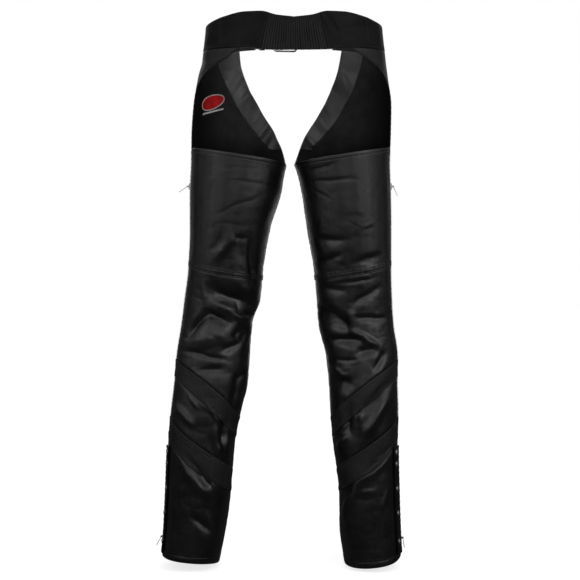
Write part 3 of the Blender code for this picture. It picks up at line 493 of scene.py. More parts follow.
def plain(leg, angle, z):
    """Points on the leg form without folds, and the directions that face out of it."""
    angle, z = np.broadcast_arrays(np.asarray(angle, float), np.asarray(z, float))
    centre, a, centre_y, b = ring(leg, z)
    turn = np.radians(angle)
    r = radius(leg, angle, z)
    across = r * np.cos(turn)
    along = r * np.sin(turn)
    normal_x = np.sign(across) * np.abs(across) ** (ROUNDNESS - 1) / a**ROUNDNESS
    normal_y = np.sign(along) * np.abs(along) ** (ROUNDNESS - 1) / b**ROUNDNESS
    size = np.hypot(normal_x, normal_y)
    points = np.stack([SIGN[leg] * (centre + across), centre_y + along, z], axis=-1)
    normals = np.stack([SIGN[leg] * normal_x / size, normal_y / size, 0 * z], axis=-1)
    return points, normals


# ---------------------------------------------------------------- folds and crumple

LATTICE = np.random.default_rng(7).random((64, 64, 64))


def lattice_noise(points, scale, shift=0.0):
    """Smooth noise from -1 to 1 over points in millimetres, one cell for each scale."""
    cell = points / np.asarray(scale, float) + shift
    low = np.floor(cell).astype(int)
    t = cell - low
    t = t * t * (3 - 2 * t)
    total = np.zeros(points.shape[:-1])
    for corner in np.ndindex(2, 2, 2):
        weight = np.ones(points.shape[:-1])
        index = []
        for axis, step in enumerate(corner):
            weight = weight * (t[..., axis] if step else 1 - t[..., axis])
            index.append((low[..., axis] + step) % LATTICE.shape[axis])
        total += weight * LATTICE[tuple(index)]
    return 2 * total - 1


# A cell is the size of a noise's lumps, and a shift keeps a noise from repeating another
FOLD_WANDER = 3.0  # how far a fold strays from its straight line
WANDER_CELL = 27.0
WANDER_SHIFTS = (41.0, 57.0)  # across and up
FOLD_DEEPER = 1.2  # the thin shell folds tighter than the solids
FOLD_NARROWER = 0.86
# Exponents of the sections: the lower, the sharper the bottom of a trough
CREASE_POWER = 1.45
MAIN_POWER = 1.7
SOFT_POWER = 2.0
CREASE_SIZES = (((46.0, 46.0, 24.0), 1.0), ((24.0, 24.0, 11.0), 0.5))  # x, y, z size and share
CREASE_SHARPNESS = 3.2
CREASE_SHARE = 1.1
CREASE_SHIFT = 5.0
CREASE_NEXT = 11.0  # added for each further size
CREASE_BEND = 9.0
BEND_CELL = 31.0
BEND_SHIFTS = (3.3, 9.1, 17.7)
BROAD_SIZE = (60.0, 60.0, 42.0)
BROAD_SHIFT = 29.0
BROAD_SHARE = 0.7
GRAIN_WAVE = 0.16
GRAIN_CELL = 7.0
GRAIN_SHIFT = 71.0
LEG_FOLDS_TOP = CROTCH_Z + 4
LEG_FOLDS_FADE = 12.0  # height over which they reach their depth
TAPER_POWER = 3  # the higher, the more suddenly a fold ends
SQUARE_ON = (0.12, 0.55)  # how much a wall must face front or back to take that side's folds
HIPS_FROM = (-60.0, -26.0)  # heights over which the hips' folds fade out at the top
HIPS_TO = (-236.0, -200.0)  # and at the bottom
WAIST_FROM = (-30.0, -14.0)
STIFF_BY_ZIP = (7.0, 30.0)  # distance from the zip over which the crumple grows


def fold_depth(rows, x, z, power):
    """Depth of all the folds of a table at places seen square on."""
    total = np.zeros(np.shape(x))
    for row in rows:
        fold = Fold(*row)
        turn = math.radians(fold.tilt)
        along = (x - fold.x) * math.cos(turn) + (z - fold.z) * math.sin(turn)
        across = (z - fold.z) * math.cos(turn) - (x - fold.x) * math.sin(turn)
        width = FOLD_NARROWER * fold.width * np.where(across > 0, 1 - fold.skew, 1 + fold.skew)
        taper = np.exp(-(np.abs(2 * along / fold.length) ** TAPER_POWER))
        section = power if fold.depth > 0 else SOFT_POWER
        total += fold.depth * taper * np.exp(-(np.abs(across / width) ** section))
    return total


def crumple(points):
    """Irregular creases whose lines branch and bend, deeper behind the knee and above the hem."""
    bend = np.stack([lattice_noise(points, BEND_CELL, shift) for shift in BEND_SHIFTS], axis=-1)
    moved = points + CREASE_BEND * bend
    depth = np.zeros(points.shape[:-1])
    for number, (size, share) in enumerate(CREASE_SIZES):
        value = np.abs(lattice_noise(moved, size, CREASE_SHIFT + CREASE_NEXT * number))
        depth += share * np.exp(-CREASE_SHARPNESS * value)
    broad = lattice_noise(points, BROAD_SIZE, BROAD_SHIFT)
    return CRUMPLE_DEPTH(points[..., 2]) * (CREASE_SHARE * depth - BROAD_SHARE * broad)


def relief(leg, angle, points, normals):
    """How far the leather is pushed in at these points of the plain form."""
    z = points[..., 2]
    aside, up = (FOLD_WANDER * lattice_noise(points, WANDER_CELL, shift) for shift in WANDER_SHIFTS)
    x = SIGN[leg] * points[..., 0] + aside
    height = z + up
    behind = soft_step(-normals[..., 1], *SQUARE_ON)
    before = soft_step(normals[..., 1], *SQUARE_ON)
    below = soft_step(LEG_FOLDS_TOP - z, 0, LEG_FOLDS_FADE)
    hips = (1 - soft_step(z, *HIPS_FROM)) * soft_step(z, *HIPS_TO)
    waist = soft_step(z, *WAIST_FROM)
    layers = (
        (FOLD_DEEPER * behind * below, BACK_FOLDS, MAIN_POWER),
        (FOLD_DEEPER * before * below, FRONT_FOLDS, MAIN_POWER),
        (behind * below, BACK_CREASES, CREASE_POWER),
        (before * below, FRONT_CREASES, CREASE_POWER),
        (before * hips, HIP_FOLDS, SOFT_POWER),
        (behind * waist, WAIST_FOLDS, SOFT_POWER),
    )
    from_zip = np.abs(angle - ZIP_LINE[leg](z)) * math.radians(1) * radius(leg, angle, z)
    fine = crumple(points) + GRAIN_WAVE * lattice_noise(points, GRAIN_CELL, GRAIN_SHIFT)
    sunk = soft_step(from_zip, *STIFF_BY_ZIP) * below * fine
    for share, folds, power in layers:
        sunk += share * fold_depth(folds[leg], x, height, power)
    return sunk


def on_form(leg, angle, z, lift):
    """Points on the folded form, moved out by lift."""
    points, normals = plain(leg, angle, z)
    out = np.asarray(lift, float) - relief(leg, angle, points, normals)
    return points + normals * out[..., None]


# ---------------------------------------------------------------- meshes


def add_mesh(name, points, faces, materials, slot, smooth_angle=50.0):
    """A mesh object from points in millimetres, which rides on the garment."""
    mesh = bpy.data.meshes.new(name)
    mesh.from_pydata((np.asarray(points) * MM).tolist(), [], faces)
    mesh.shade_smooth()
    if smooth_angle:
        mesh.set_sharp_from_angle(angle=math.radians(smooth_angle))
    for material in materials:
        mesh.materials.append(material)
    obj = bpy.data.objects.new(name, mesh)
    bpy.context.scene.collection.objects.link(obj)
    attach(obj, "garment")
    return obj


def shell(name, outside, inside, normals, materials, slot):
    """A closed shell between two grids of points, rows by columns. Its inner faces take material 1."""
    rows, columns = outside.shape[:2]
    index = np.arange(rows * columns).reshape(rows, columns)
    quads = np.stack([index[:-1, :-1], index[1:, :-1], index[1:, 1:], index[:-1, 1:]], axis=-1)
    quads = quads.reshape(-1, 4)
    rim = np.concatenate([index[0, :-1], index[:-1, -1], index[-1, :0:-1], index[:0:-1, 0]])
    after = np.roll(rim, -1)
    under = rows * columns
    edge = np.stack([rim, after, after + under, rim + under], axis=-1)
    faces = np.concatenate([quads, quads[:, ::-1] + under, edge])
    i, j = rows // 2, columns // 2
    turn = np.cross(outside[i + 1, j] - outside[i, j], outside[i, j + 1] - outside[i, j])
    if np.dot(turn, normals[i, j]) < 0:
        faces = faces[:, ::-1]
    points = np.concatenate([outside.reshape(-1, 3), inside.reshape(-1, 3)])
    obj = add_mesh(name, points, faces.tolist(), materials, slot)
    if len(materials) > 1:
        chosen = np.zeros(len(faces), np.int32)
        chosen[len(quads) : 2 * len(quads)] = 1
        obj.data.polygons.foreach_set("material_index", chosen)
    return obj


def loop_faces(rings, sides):
    """Quads between rings of points, where the last ring joins the first."""
    faces = []
    for i in range(rings):
        j = (i + 1) % rings
        for k in range(sides):
            after = (k + 1) % sides
            faces.append([i * sides + k, i * sides + after, j * sides + after, j * sides + k])
    return faces


def lengths(points, axis):
    """Distance along the grid from its first line, at every point."""
    steps = np.linalg.norm(np.diff(points, axis=axis), axis=-1)
    start = np.zeros_like(np.take(steps, [0], axis=axis))
    return np.concatenate([start, np.cumsum(steps, axis=axis)], axis=axis)


def flat_cut(points):
    """Flat width, length and area of a grid of points in millimetres, in metres."""
    width = round(lengths(points, 1)[:, -1].max() * MM, 4)
    length = round(lengths(points, 0)[-1].max() * MM, 4)
    one = np.cross(points[1:, :-1] - points[:-1, :-1], points[:-1, 1:] - points[:-1, :-1])
    two = np.cross(points[1:, :-1] - points[1:, 1:], points[:-1, 1:] - points[1:, 1:])
    area = (np.linalg.norm(one, axis=-1) + np.linalg.norm(two, axis=-1)).sum() / 2 * MM * MM
    return (width, length), min(area, width * length)


def declare(points):
    flat, area = flat_cut(points)


# ---------------------------------------------------------------- stitching

STITCH_PITCH = 4.0
STITCH_LENGTH = 3.0
STITCH_RADIUS = 0.4
STITCH_DIP = 0.25  # depth of its ends under the surface
STITCH_RAISE = 0.15  # share of its radius by which its middle stands above the surface
STITCH_RINGS = (0.25, 0.75)  # where it is thickest, as shares of its length
stitch_bags = {"left": [], "right": [], "waist": []}


def add_stitches(bag, line, normals):
    """Thread along a line of surface points: short lozenges whose ends dip into the leather."""
    steps = np.linalg.norm(np.diff(line, axis=0), axis=1)
    place = np.concatenate([[0], np.cumsum(steps)])
    count = int(place[-1] // STITCH_PITCH)
    if count < 1:
        return
    starts = (np.arange(count) + 0.5) * place[-1] / count - STITCH_LENGTH / 2

    def at(where):
        return np.stack([np.interp(where, place, line[:, k]) for k in range(3)], axis=-1)

    def facing(where):
        found = np.stack([np.interp(where, place, normals[:, k]) for k in range(3)], axis=-1)
        return found / np.linalg.norm(found, axis=1, keepdims=True)

    ends = starts + STITCH_LENGTH
    first = at(starts) - facing(starts) * STITCH_DIP
    last = at(ends) - facing(ends) * STITCH_DIP
    along = last - first
    along /= np.linalg.norm(along, axis=1, keepdims=True)
    points = [first]
    for share in STITCH_RINGS:
        middle = at(starts + share * STITCH_LENGTH)
        up = facing(starts + share * STITCH_LENGTH)
        side = np.cross(along, up)
        for x, y in ((1, 0), (0, 1), (-1, 0), (0, -1)):
            points.append(middle + STITCH_RADIUS * (side * x + up * (y + STITCH_RAISE)))
    points.append(last)
    stitch_bags[bag].append(np.stack(points, axis=1))


def stitch_faces():
    """Faces of one stitch: a tip, two rings of four points and the other tip."""
    faces = []
    for k in range(4):
        after = (k + 1) % 4
        faces.append((0, 1 + after, 1 + k))
        faces.append((1 + k, 1 + after, 5 + after))
        faces.append((1 + k, 5 + after, 5 + k))
        faces.append((5 + k, 5 + after, 9))
    return np.array(faces)


def build_stitching():
    pattern = stitch_faces()
    for bag, stitches in stitch_bags.items():
        points = np.concatenate(stitches)
        shift = points.shape[1] * np.arange(len(points))[:, None, None]
        faces = (pattern[None] + shift).reshape(-1, 3)
        add_mesh(f"stitching_{bag}", points.reshape(-1, 3), faces.tolist(), [THREAD], "leather", 0)


# ---------------------------------------------------------------- panels


class Edge(NamedTuple):
    """How one edge of a panel is finished."""

    rows: tuple = ()  # distances of the stitch rows from the edge
    lip: float = 0.0  # height of a lapped or turned edge
    width: float = 6.0  # how far in that height reaches
    groove: float = 0.0  # how far the edge dips into a plain seam


SEAM = Edge(groove=0.5)
LAP = Edge((2.2, 8.2), 0.9, 11.0)
TURNED = Edge((8.0,), 0.5, 10.0)
BY_ZIP = Edge((4.5,), 0.1, 6.5)
BAND = Edge((2.2, 8.2), 0.55, 10.5)
HEM = Edge((12.0,), 0.5, 14.0)
RAW = Edge()
CURVE = 0.8  # radius of a cut edge
CURVE_LINE = 0.15
GROOVE_HALF = 0.8
GROOVE_SHARPNESS = 0.6  # share of that half width at which the groove is a third as deep
STITCH_GROOVE = 0.42
SEAM_WIDTH = 2.0
PUCKER = 0.24
PUCKER_WAVE = 11.0
PUCKER_DRIFT = (1.7, 37.0)  # how much and how slowly that wave shifts along the seam
PUCKER_REACH = 6.0
LIP_SLOPE = 1.5
LINE_GAP = 0.4  # least distance between two lines of the mesh
INWARD_SHARE = 0.6  # a thin inner piece has this share of the leather's edge shapes
GRID_ROUNDS = 40
GRID_PULL = 0.5  # share of the way to its place that a point moves in one round


def edge_lines(edge):
    """Distances from an edge at which the mesh needs a line of points."""
    found = [0.0, CURVE_LINE, CURVE, *edge.rows]
    wanted = [row + side * GROOVE_HALF for row in edge.rows for side in (-1, 1)]
    if edge.lip:
        wanted += [edge.width - LIP_SLOPE, edge.width + LIP_SLOPE]
    for value in wanted:
        if min(abs(value - other) for other in found) > LINE_GAP:
            found.append(value)
    return sorted(found)


def cut_edge(distance):
    """Drop of the rounded rim of a cut piece at a distance from its edge."""
    inside = np.clip(CURVE - distance, 0, CURVE)
    return np.sqrt(CURVE**2 - inside**2) - CURVE


def edge_shape(edge, distance, along):
    """Height of the surface near one edge."""
    height = cut_edge(distance) - edge.groove * np.exp(-((distance / SEAM_WIDTH) ** 2))
    if edge.lip:
        height += edge.lip * (1 - soft_step(distance, edge.width - LIP_SLOPE, edge.width + LIP_SLOPE))
    drift, slow = PUCKER_DRIFT
    wave = np.sin(math.tau * along / PUCKER_WAVE + drift * np.sin(along / slow))
    for row in edge.rows:
        away = distance - row
        height -= STITCH_GROOVE * np.exp(-((away / (GROOVE_SHARPNESS * GROOVE_HALF)) ** 2))
        height += PUCKER * wave * np.exp(-((away / PUCKER_REACH) ** 2))
    return height


def spaced(length, near, far, step):
    """Distances of the mesh lines along each length: those of both edges, and even ones between."""
    near = np.array(near)
    far = np.array(far)[::-1]
    length = np.asarray(length)[:, None]
    count = max(2, round((float(length.mean()) - near[-1] - far[0]) / step))
    share = np.linspace(0, 1, count + 1)[None, 1:-1]
    middle = near[-1] + (length - far[0] - near[-1]) * share
    return np.concatenate([near + 0 * length, middle, length - far], axis=1)


def even_grid(leg, first, last, top, bottom, guess, rows, columns):
    """Angles and heights that fill a panel evenly."""
    down = np.linspace(0, 1, rows + 1)[:, None]
    share = np.linspace(0, 1, columns + 1)[None, :]
    z = guess[0] + (guess[1] - guess[0]) * down + 0 * share
    for _ in range(GRID_ROUNDS):
        start = first(leg, z)
        angle = start + (last(leg, z) - start) * share
        target = top(angle) + (bottom(angle) - top(angle)) * down
        z = z + GRID_PULL * (target - z)
    return angle, z


def by_distance(leg, angle, z, edges, step):
    """Moves a grid's lines to set distances from its edges. Edges are first, last, top and bottom."""
    first, last, top, bottom = (edge_lines(edge) for edge in edges)
    place = lengths(plain(leg, angle, z)[0], 1)
    wanted = spaced(place[:, -1], first, last, step)
    angle = np.stack([np.interp(w, p, a) for w, p, a in zip(wanted, place, angle)])
    z = np.stack([np.interp(w, p, h) for w, p, h in zip(wanted, place, z)])
    place = lengths(plain(leg, angle, z)[0], 0)
    wanted = spaced(place[-1], top, bottom, step)
    columns = range(angle.shape[1])
    angle = np.stack([np.interp(wanted[j], place[:, j], angle[:, j]) for j in columns], axis=1)
    z = np.stack([np.interp(wanted[j], place[:, j], z[:, j]) for j in columns], axis=1)
    return angle, z


def stitch_edges(bag, edges, grid, facing):
    """Stitches along every row of every edge of a grid."""
    for number, edge in enumerate(edges):
        lines = edge_lines(edge)
        for row in edge.rows:
            k = lines.index(row)
            k = -1 - k if number % 2 else k
            if number < 2:
                add_stitches(bag, grid[2:-2, k], facing[2:-2, k])
            else:
                add_stitches(bag, grid[k, 2:-2], facing[k, 2:-2])


LEG_STEP = 3.0


class Panel(NamedTuple):
    """A cut piece on the leg form. Sides and edges are named first, last, top and bottom."""

    name: str
    sides: tuple  # angles of the first and last side by leg and height
    ends: tuple  # heights of the top and bottom by angle
    guess: tuple  # rough heights of the top and bottom
    edges: tuple
    materials: tuple
    above: str  # what it hangs from; not used
    thick: float = LEATHER
    lift: float = 0.0
    step: float = LEG_STEP
    slot: str = "leather"
    bag: str = ""  # where its stitches go
    inward: bool = False  # its finished side faces the wearer
    cells: tuple = (130, 60)


def add_panel(panel, leg):
    """Gives a cut piece its edge lines, its folds, its stitch rows and its thickness."""
    angle, z = even_grid(leg, *panel.sides, *panel.ends, panel.guess, *panel.cells)
    angle, z = by_distance(leg, angle, z, panel.edges, panel.step)
    points, normals = plain(leg, angle, z)
    across = lengths(points, 1)
    down = lengths(points, 0)
    places = ((across, down), (across[:, -1:] - across, down), (down, across), (down[-1:] - down, across))
    shape = sum(edge_shape(edge, *place) for edge, place in zip(panel.edges, places))
    high = panel.lift - relief(leg, angle, points, normals)
    low = high - panel.thick
    if panel.inward:
        low = low - INWARD_SHARE * shape
    else:
        high = high + shape
    outside = points + normals * high[..., None]
    inside = points + normals * low[..., None]
    obj = shell(f"soft_{panel.name}", outside, inside, normals, panel.materials, panel.slot)
    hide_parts(panel.name)
    if panel.bag:
        face, out = (inside, -normals) if panel.inward else (outside, normals)
        stitch_edges(panel.bag, panel.edges, face, surface_normals(face, out))
    declare(points)


def surface_normals(grid, outward):
    down = np.gradient(grid, axis=0)
    across = np.gradient(grid, axis=1)
    found = np.cross(down, across)
    found /= np.maximum(np.linalg.norm(found, axis=-1, keepdims=True), 1e-9)
    same = np.sign((found * outward).sum(axis=-1, keepdims=True))
    return found * np.where(same == 0, 1, same)


# ---------------------------------------------------------------- edges of the leg panels

HIP_BLEND = 30.0  # height over which the front's side leaves the zip for the hip edge
LINING_BLEND = 12.0  # the same for the lining's distance from that side
INSEAM_BLEND = 8.0  # height over which the opening's edge turns into the inseam
LINING_INSET = 4.0  # inside the hip edge
LINING_BESIDE_ZIP = 15.0  # clear of the zip tape
LINING_SHORT = 3.0  # above the front's cross seam


def zip_spread(z):
    return SEAM_GAP / 2 + TOP_SPREAD * soft_step(z, UPPER_SLIDER_Z, ZIP_TOP_Z)


def beside_zip(leg, z, distance):
    """Angle at a distance from the zip's centre line, positive towards the front."""
    centre = ZIP_LINE[leg](z)
    return centre + np.degrees(distance / radius(leg, centre, z))


def front_outer_angle(leg, z):
    below = beside_zip(leg, z, zip_spread(z) + ZIP_HALF + SEAM_GAP)
    above = HIP_EDGE_ANGLE[leg](z)
    return below + (above - below) * soft_step(z, ZIP_TOP_Z, ZIP_TOP_Z + HIP_BLEND)


def front_inner_angle(leg, z):
    edge = angle_at(leg, FRONT_EDGE_X[leg](z), z, 1)
    return edge + (INSEAM_ANGLE - edge) * soft_step(CROTCH_Z - z, 0, INSEAM_BLEND)


def facing_angle(leg, z):
    x = np.where(z > CROTCH_Z, FRONT_EDGE_X[leg](z), INNER[leg](z)) + FACING_ACROSS(z)
    return angle_at(leg, x, z, 1)


def back_outer_angle(leg, z):
    return beside_zip(leg, z, -(zip_spread(z) + ZIP_HALF + SEAM_GAP))


def behind_zip(distance):
    """A side that runs along the zip."""
    return lambda leg, z: beside_zip(leg, z, -distance)


def level(value):
    """A side at one angle, or an end at one height."""
    return lambda *place: value + 0 * place[-1]


def seam_line(seam, shift=0.0):
    """Height of a cross seam by how far across the leg a point is, from the outer side to the inner."""
    outer, middle, inner = seam

    def height(angle):
        t = (1 - np.cos(np.radians(angle))) / 2
        high = outer * (1 - t) * (1 - 2 * t) + middle * 4 * t * (1 - t) + inner * t * (2 * t - 1)
        return high + shift

    return height


def lining_outer_angle(leg, z):
    edge = front_outer_angle(leg, z)
    above_zip = soft_step(z, ZIP_TOP_Z, ZIP_TOP_Z + LINING_BLEND)
    inset = LINING_BESIDE_ZIP + (LINING_INSET - LINING_BESIDE_ZIP) * above_zip
    return edge + np.degrees(inset / radius(leg, edge, z))


def lining_inner_angle(leg, z):
    edge = facing_angle(leg, z)
    return edge - np.degrees(SEAM_GAP / radius(leg, edge, z))


# ---------------------------------------------------------------- materials


def add_node(tree, kind, settings=None, **inputs):
    """A shader node. Inputs are sockets' names with _ for a space, and take numbers or other sockets."""
    node = tree.nodes.new(kind)
    for key, value in (settings or {}).items():
        setattr(node, key, value)
    for key, value in inputs.items():
        socket = node.inputs[key.replace("_", " ")]
        if isinstance(value, bpy.types.NodeSocket):
            tree.links.new(value, socket)
        else:
            socket.default_value = value
    return node


def new_material(name, **sockets):
    material = bpy.data.materials.new(name)
    material.use_nodes = True
    shader = material.node_tree.nodes["Principled BSDF"]
    for key, value in sockets.items():
        shader.inputs[key.replace("_", " ")].default_value = value
    return material, material.node_tree, shader


def noise_of(tree, vector, scale, detail, distortion=0.0):
    settings = {"Scale": scale, "Detail": detail, "Distortion": distortion}
    return add_node(tree, "ShaderNodeTexNoise", Vector=vector, **settings).outputs["Fac"]


def ranged(tree, value, low, high, to_low, to_high):
    ends = {"From_Min": low, "From_Max": high, "To_Min": to_low, "To_Max": to_high}
    return add_node(tree, "ShaderNodeMapRange", Value=value, **ends).outputs["Result"]


def summed(tree, *terms):
    """Sum of (socket, factor) terms."""
    total = None
    for socket, factor in terms:
        node = tree.nodes.new("ShaderNodeMath")
        node.operation = "MULTIPLY_ADD"
        tree.links.new(socket, node.inputs[0])
        node.inputs[1].default_value = factor
        if total is None:
            node.inputs[2].default_value = 0.0
        else:
            tree.links.new(total, node.inputs[2])
        total = node.outputs[0]
    return total


TONE_RAMP = (0.3, 0.72)  # where the dark tone ends and the light one starts


def two_tone(tree, factor, dark, light):
    node = add_node(tree, "ShaderNodeValToRGB", Fac=factor)
    for element, position, tone in zip(node.color_ramp.elements, TONE_RAMP, (dark, light)):
        element.position = position
        element.color = (*tone, 1)
    return node.outputs["Color"]


def bumped(tree, shader, height, strength, distance):
    node = add_node(tree, "ShaderNodeBump", Height=height, Strength=strength, Distance=distance)
    tree.links.new(node.outputs["Normal"], shader.inputs["Normal"])


# Noises: scale, detail, distortion
PATCHES = (26.0, 4.0)
SCUFFS = (75.0, 5.0, 0.8)
PORES = (2400.0, 2.0)
WRINKLES = (190.0, 5.0, 1.2)
CLOTH_PATCHES = (40.0, 4.0)
FUZZ = (1800.0, 2.0)
WEAR = (420.0, 5.0, 0.6)
POLISH = (1500.0, 3.0)
WAVE_PER_THREAD = 0.314  # scale of a wave texture whose bands are a metre apart
METAL_SHADE = 0.82  # the worn tone for each part of the bright one
GLOSS_RANGE = (0.35, 0.65)  # of the noise that drives the roughness
WEAR_RANGE = (0.3, 0.7)
PORE_SHARE = 0.3  # depth for each part of the pebbles' depth
FUZZ_SHARE = 0.6
THREAD_WAVER = 0.6
# Bumps: strength, and depth in metres
LEATHER_BUMP = (0.2, 0.0004)
CLOTH_BUMP = (0.5, 0.0004)
METAL_BUMP = (0.12, 0.0002)
# Painted shade on the lining: its colour darkens out from the centre plane and down to the bottom of the seat
# opening, where the hip shades it
PAINTED_SHADE_OUT = (0.13, 0.19)  # distance out from the centre plane, in metres
PAINTED_SHADE_DOWN = (-0.236, -0.172)  # height, in metres
PAINTED_SHADE_LEAST = 0.07


def leather(name, dark, light, rough, specular, grain=950.0, grain_depth=0.5, **sockets):
    """Leather with pebbles about a millimetre across, wrinkles, and patches of more or less gloss."""
    material, tree, shader = new_material(name, Specular_IOR_Level=specular, **sockets)
    place = add_node(tree, "ShaderNodeTexCoord").outputs["Object"]
    patches = noise_of(tree, place, *PATCHES)
    tree.links.new(two_tone(tree, patches, dark, light), shader.inputs["Base Color"])
    gloss = summed(tree, (patches, 0.5), (noise_of(tree, place, *SCUFFS), 0.5))
    tree.links.new(ranged(tree, gloss, *GLOSS_RANGE, *rough), shader.inputs["Roughness"])
    pebbles = add_node(tree, "ShaderNodeTexVoronoi", Vector=place, Scale=grain).outputs["Distance"]
    pores = noise_of(tree, place, *PORES)
    wrinkles = noise_of(tree, place, *WRINKLES)
    height = summed(tree, (pebbles, grain_depth), (pores, PORE_SHARE * grain_depth), (wrinkles, 1.0))
    bumped(tree, shader, height, *LEATHER_BUMP)
    return material


def painted_shade(tree, colour, place):
    """Paints shade into the lining's colour: darker towards the outer side and the bottom of the seat
    opening, where the hip's inside lies in shade.
    """
    parts = add_node(tree, "ShaderNodeSeparateXYZ", Vector=place).outputs
    out = add_node(tree, "ShaderNodeMath", {"operation": "ABSOLUTE"}, Value=parts["X"]).outputs[0]
    side = ranged(tree, out, *PAINTED_SHADE_OUT, 1.0, PAINTED_SHADE_LEAST)
    low = ranged(tree, parts["Z"], *PAINTED_SHADE_DOWN, PAINTED_SHADE_LEAST, 1.0)
    both = tree.nodes.new("ShaderNodeMath")
    both.operation = "MULTIPLY"
    tree.links.new(side, both.inputs[0])
    tree.links.new(low, both.inputs[1])
    scale = {"operation": "SCALE"}
    scaled = add_node(tree, "ShaderNodeVectorMath", scale, Vector=colour, Scale=both.outputs[0])
    return scaled.outputs["Vector"]


def woven(name, dark, light, rough, pitch, specular=0.5, with_painted_shade=False):
    """Woven cloth: crossing threads at the given pitch in metres. The last argument darkens its colour with
    painted shade.
    """
    material, tree, shader = new_material(name, Roughness=rough, Specular_IOR_Level=specular)
    place = add_node(tree, "ShaderNodeTexCoord").outputs["Object"]
    colour = two_tone(tree, noise_of(tree, place, *CLOTH_PATCHES), dark, light)
    # painted shade: the lining's colour darkens where the hip shades it
    if with_painted_shade:
        colour = painted_shade(tree, colour, place)
    tree.links.new(colour, shader.inputs["Base Color"])
    threads = []
    for axis in ("X", "Z"):
        bands = {"bands_direction": axis}
        scale = WAVE_PER_THREAD / pitch
        wave = add_node(tree, "ShaderNodeTexWave", bands, Vector=place, Scale=scale, Distortion=THREAD_WAVER)
        threads.append((wave.outputs["Fac"], 0.5))
    fuzz = noise_of(tree, place, *FUZZ)
    bumped(tree, shader, summed(tree, *threads, (fuzz, FUZZ_SHARE)), *CLOTH_BUMP)
    return material


def metal(name, colour, rough):
    material, tree, shader = new_material(name, Metallic=1.0)
    place = add_node(tree, "ShaderNodeTexCoord").outputs["Object"]
    wear = noise_of(tree, place, *WEAR)
    shade = tuple(METAL_SHADE * c for c in colour)
    tree.links.new(two_tone(tree, wear, shade, colour), shader.inputs["Base Color"])
    tree.links.new(ranged(tree, wear, *WEAR_RANGE, *rough), shader.inputs["Roughness"])
    bumped(tree, shader, noise_of(tree, place, *POLISH), *METAL_BUMP)
    return material


# Dark and light tones
HIDE_TONES = ((0.0018, 0.0018, 0.002), (0.004, 0.004, 0.0043))
WAIST_TONES = ((0.002, 0.002, 0.0022), (0.0045, 0.0045, 0.0048))
MATTE_TONES = ((0.003, 0.003, 0.0033), (0.0065, 0.0065, 0.0068))
SHIRRED_TONES = ((0.003, 0.003, 0.0033), (0.006, 0.006, 0.0063))
FACING_TONES = ((0.011, 0.011, 0.0115), (0.024, 0.024, 0.0245))
FLESH_TONES = ((0.003, 0.003, 0.003), (0.006, 0.0059, 0.0058))
FLAP_TONES = ((0.002, 0.002, 0.0023), (0.004, 0.004, 0.0043))
LINING_TONES = ((0.012, 0.012, 0.0125), (0.021, 0.021, 0.0215))
FLESH_SHEEN = {"Sheen_Weight": 0.03, "Sheen_Roughness": 0.6}
# Leather: tones, least and most roughness, specular level, grain and its depth
HIDE = leather("black_cowhide", *HIDE_TONES, (0.3, 0.4), 0.5)
FRONT_HIDE = leather("front_cowhide", *HIDE_TONES, (0.32, 0.44), 0.24)
WAIST_HIDE = leather("waistband_leather", *WAIST_TONES, (0.34, 0.46), 0.07)
MATTE_HIDE = leather("matte_cowhide", *MATTE_TONES, (0.5, 0.64), 0.34, 760.0, 0.9)
SHIRRED_HIDE = leather("shirred_cowhide", *SHIRRED_TONES, (0.42, 0.54), 0.16)
FACING_HIDE = leather("facing_leather", *FACING_TONES, (0.3, 0.42), 0.5)
FLESH = leather("flesh_side", *FLESH_TONES, (0.82, 0.95), 0.1, 420.0, 1.4, **FLESH_SHEEN)
FLAP_HIDE = leather("glossy_flap_leather", *FLAP_TONES, (0.24, 0.36), 0.12)
# Cloth: tones, roughness, pitch of the threads in metres, specular level
# The lining's colour carries painted shade, darker towards its outer side and bottom
LINING_CLOTH = woven("black_lining", *LINING_TONES, 0.8, 0.0007, 0.12, with_painted_shade=True)
TAPE_CLOTH = woven("zip_tape", (0.008, 0.008, 0.008), (0.014, 0.014, 0.014), 0.8, 0.0006)
LABEL_CLOTH = woven("red_label_weave", (0.16, 0.003, 0.003), (0.5, 0.008, 0.009), 0.7, 0.0005, 0.15)
PALE_THREAD = woven("pale_thread", (0.3, 0.29, 0.28), (0.46, 0.44, 0.42), 0.7, 0.0006)
THREAD = woven("black_thread", (0.010, 0.010, 0.010), (0.02, 0.02, 0.02), 0.5, 0.0004)
NICKEL = metal("nickel", (0.4, 0.4, 0.39), (0.16, 0.32))
TEETH = metal("zip_teeth_nickel", (0.8, 0.8, 0.78), (0.3, 0.5))


# ---------------------------------------------------------------- legs

LINING_STEP = 6.0
FACING_STEP = 3.5
OUTER_EDGE = Edge((5.0,), 0.4, 7.5)
OPENING_EDGE = Edge((7.0,), 0.45, 9.0)
FACING_EDGE = Edge((2.0,), 0.25, 4.0)
SEAMED = (BY_ZIP, SEAM, SEAM, SEAM)
BANDED = (BY_ZIP, RAW, BAND, BAND)
FRONT_SIDES = (front_outer_angle, front_inner_angle)
BACK_SIDES = (back_outer_angle, level(BACK_INSEAM_ANGLE))
HIP_GUESS = (-10, -450)
FACING_GUESS = (-10, -200)
SHIN_GUESS = (-450, -1020)


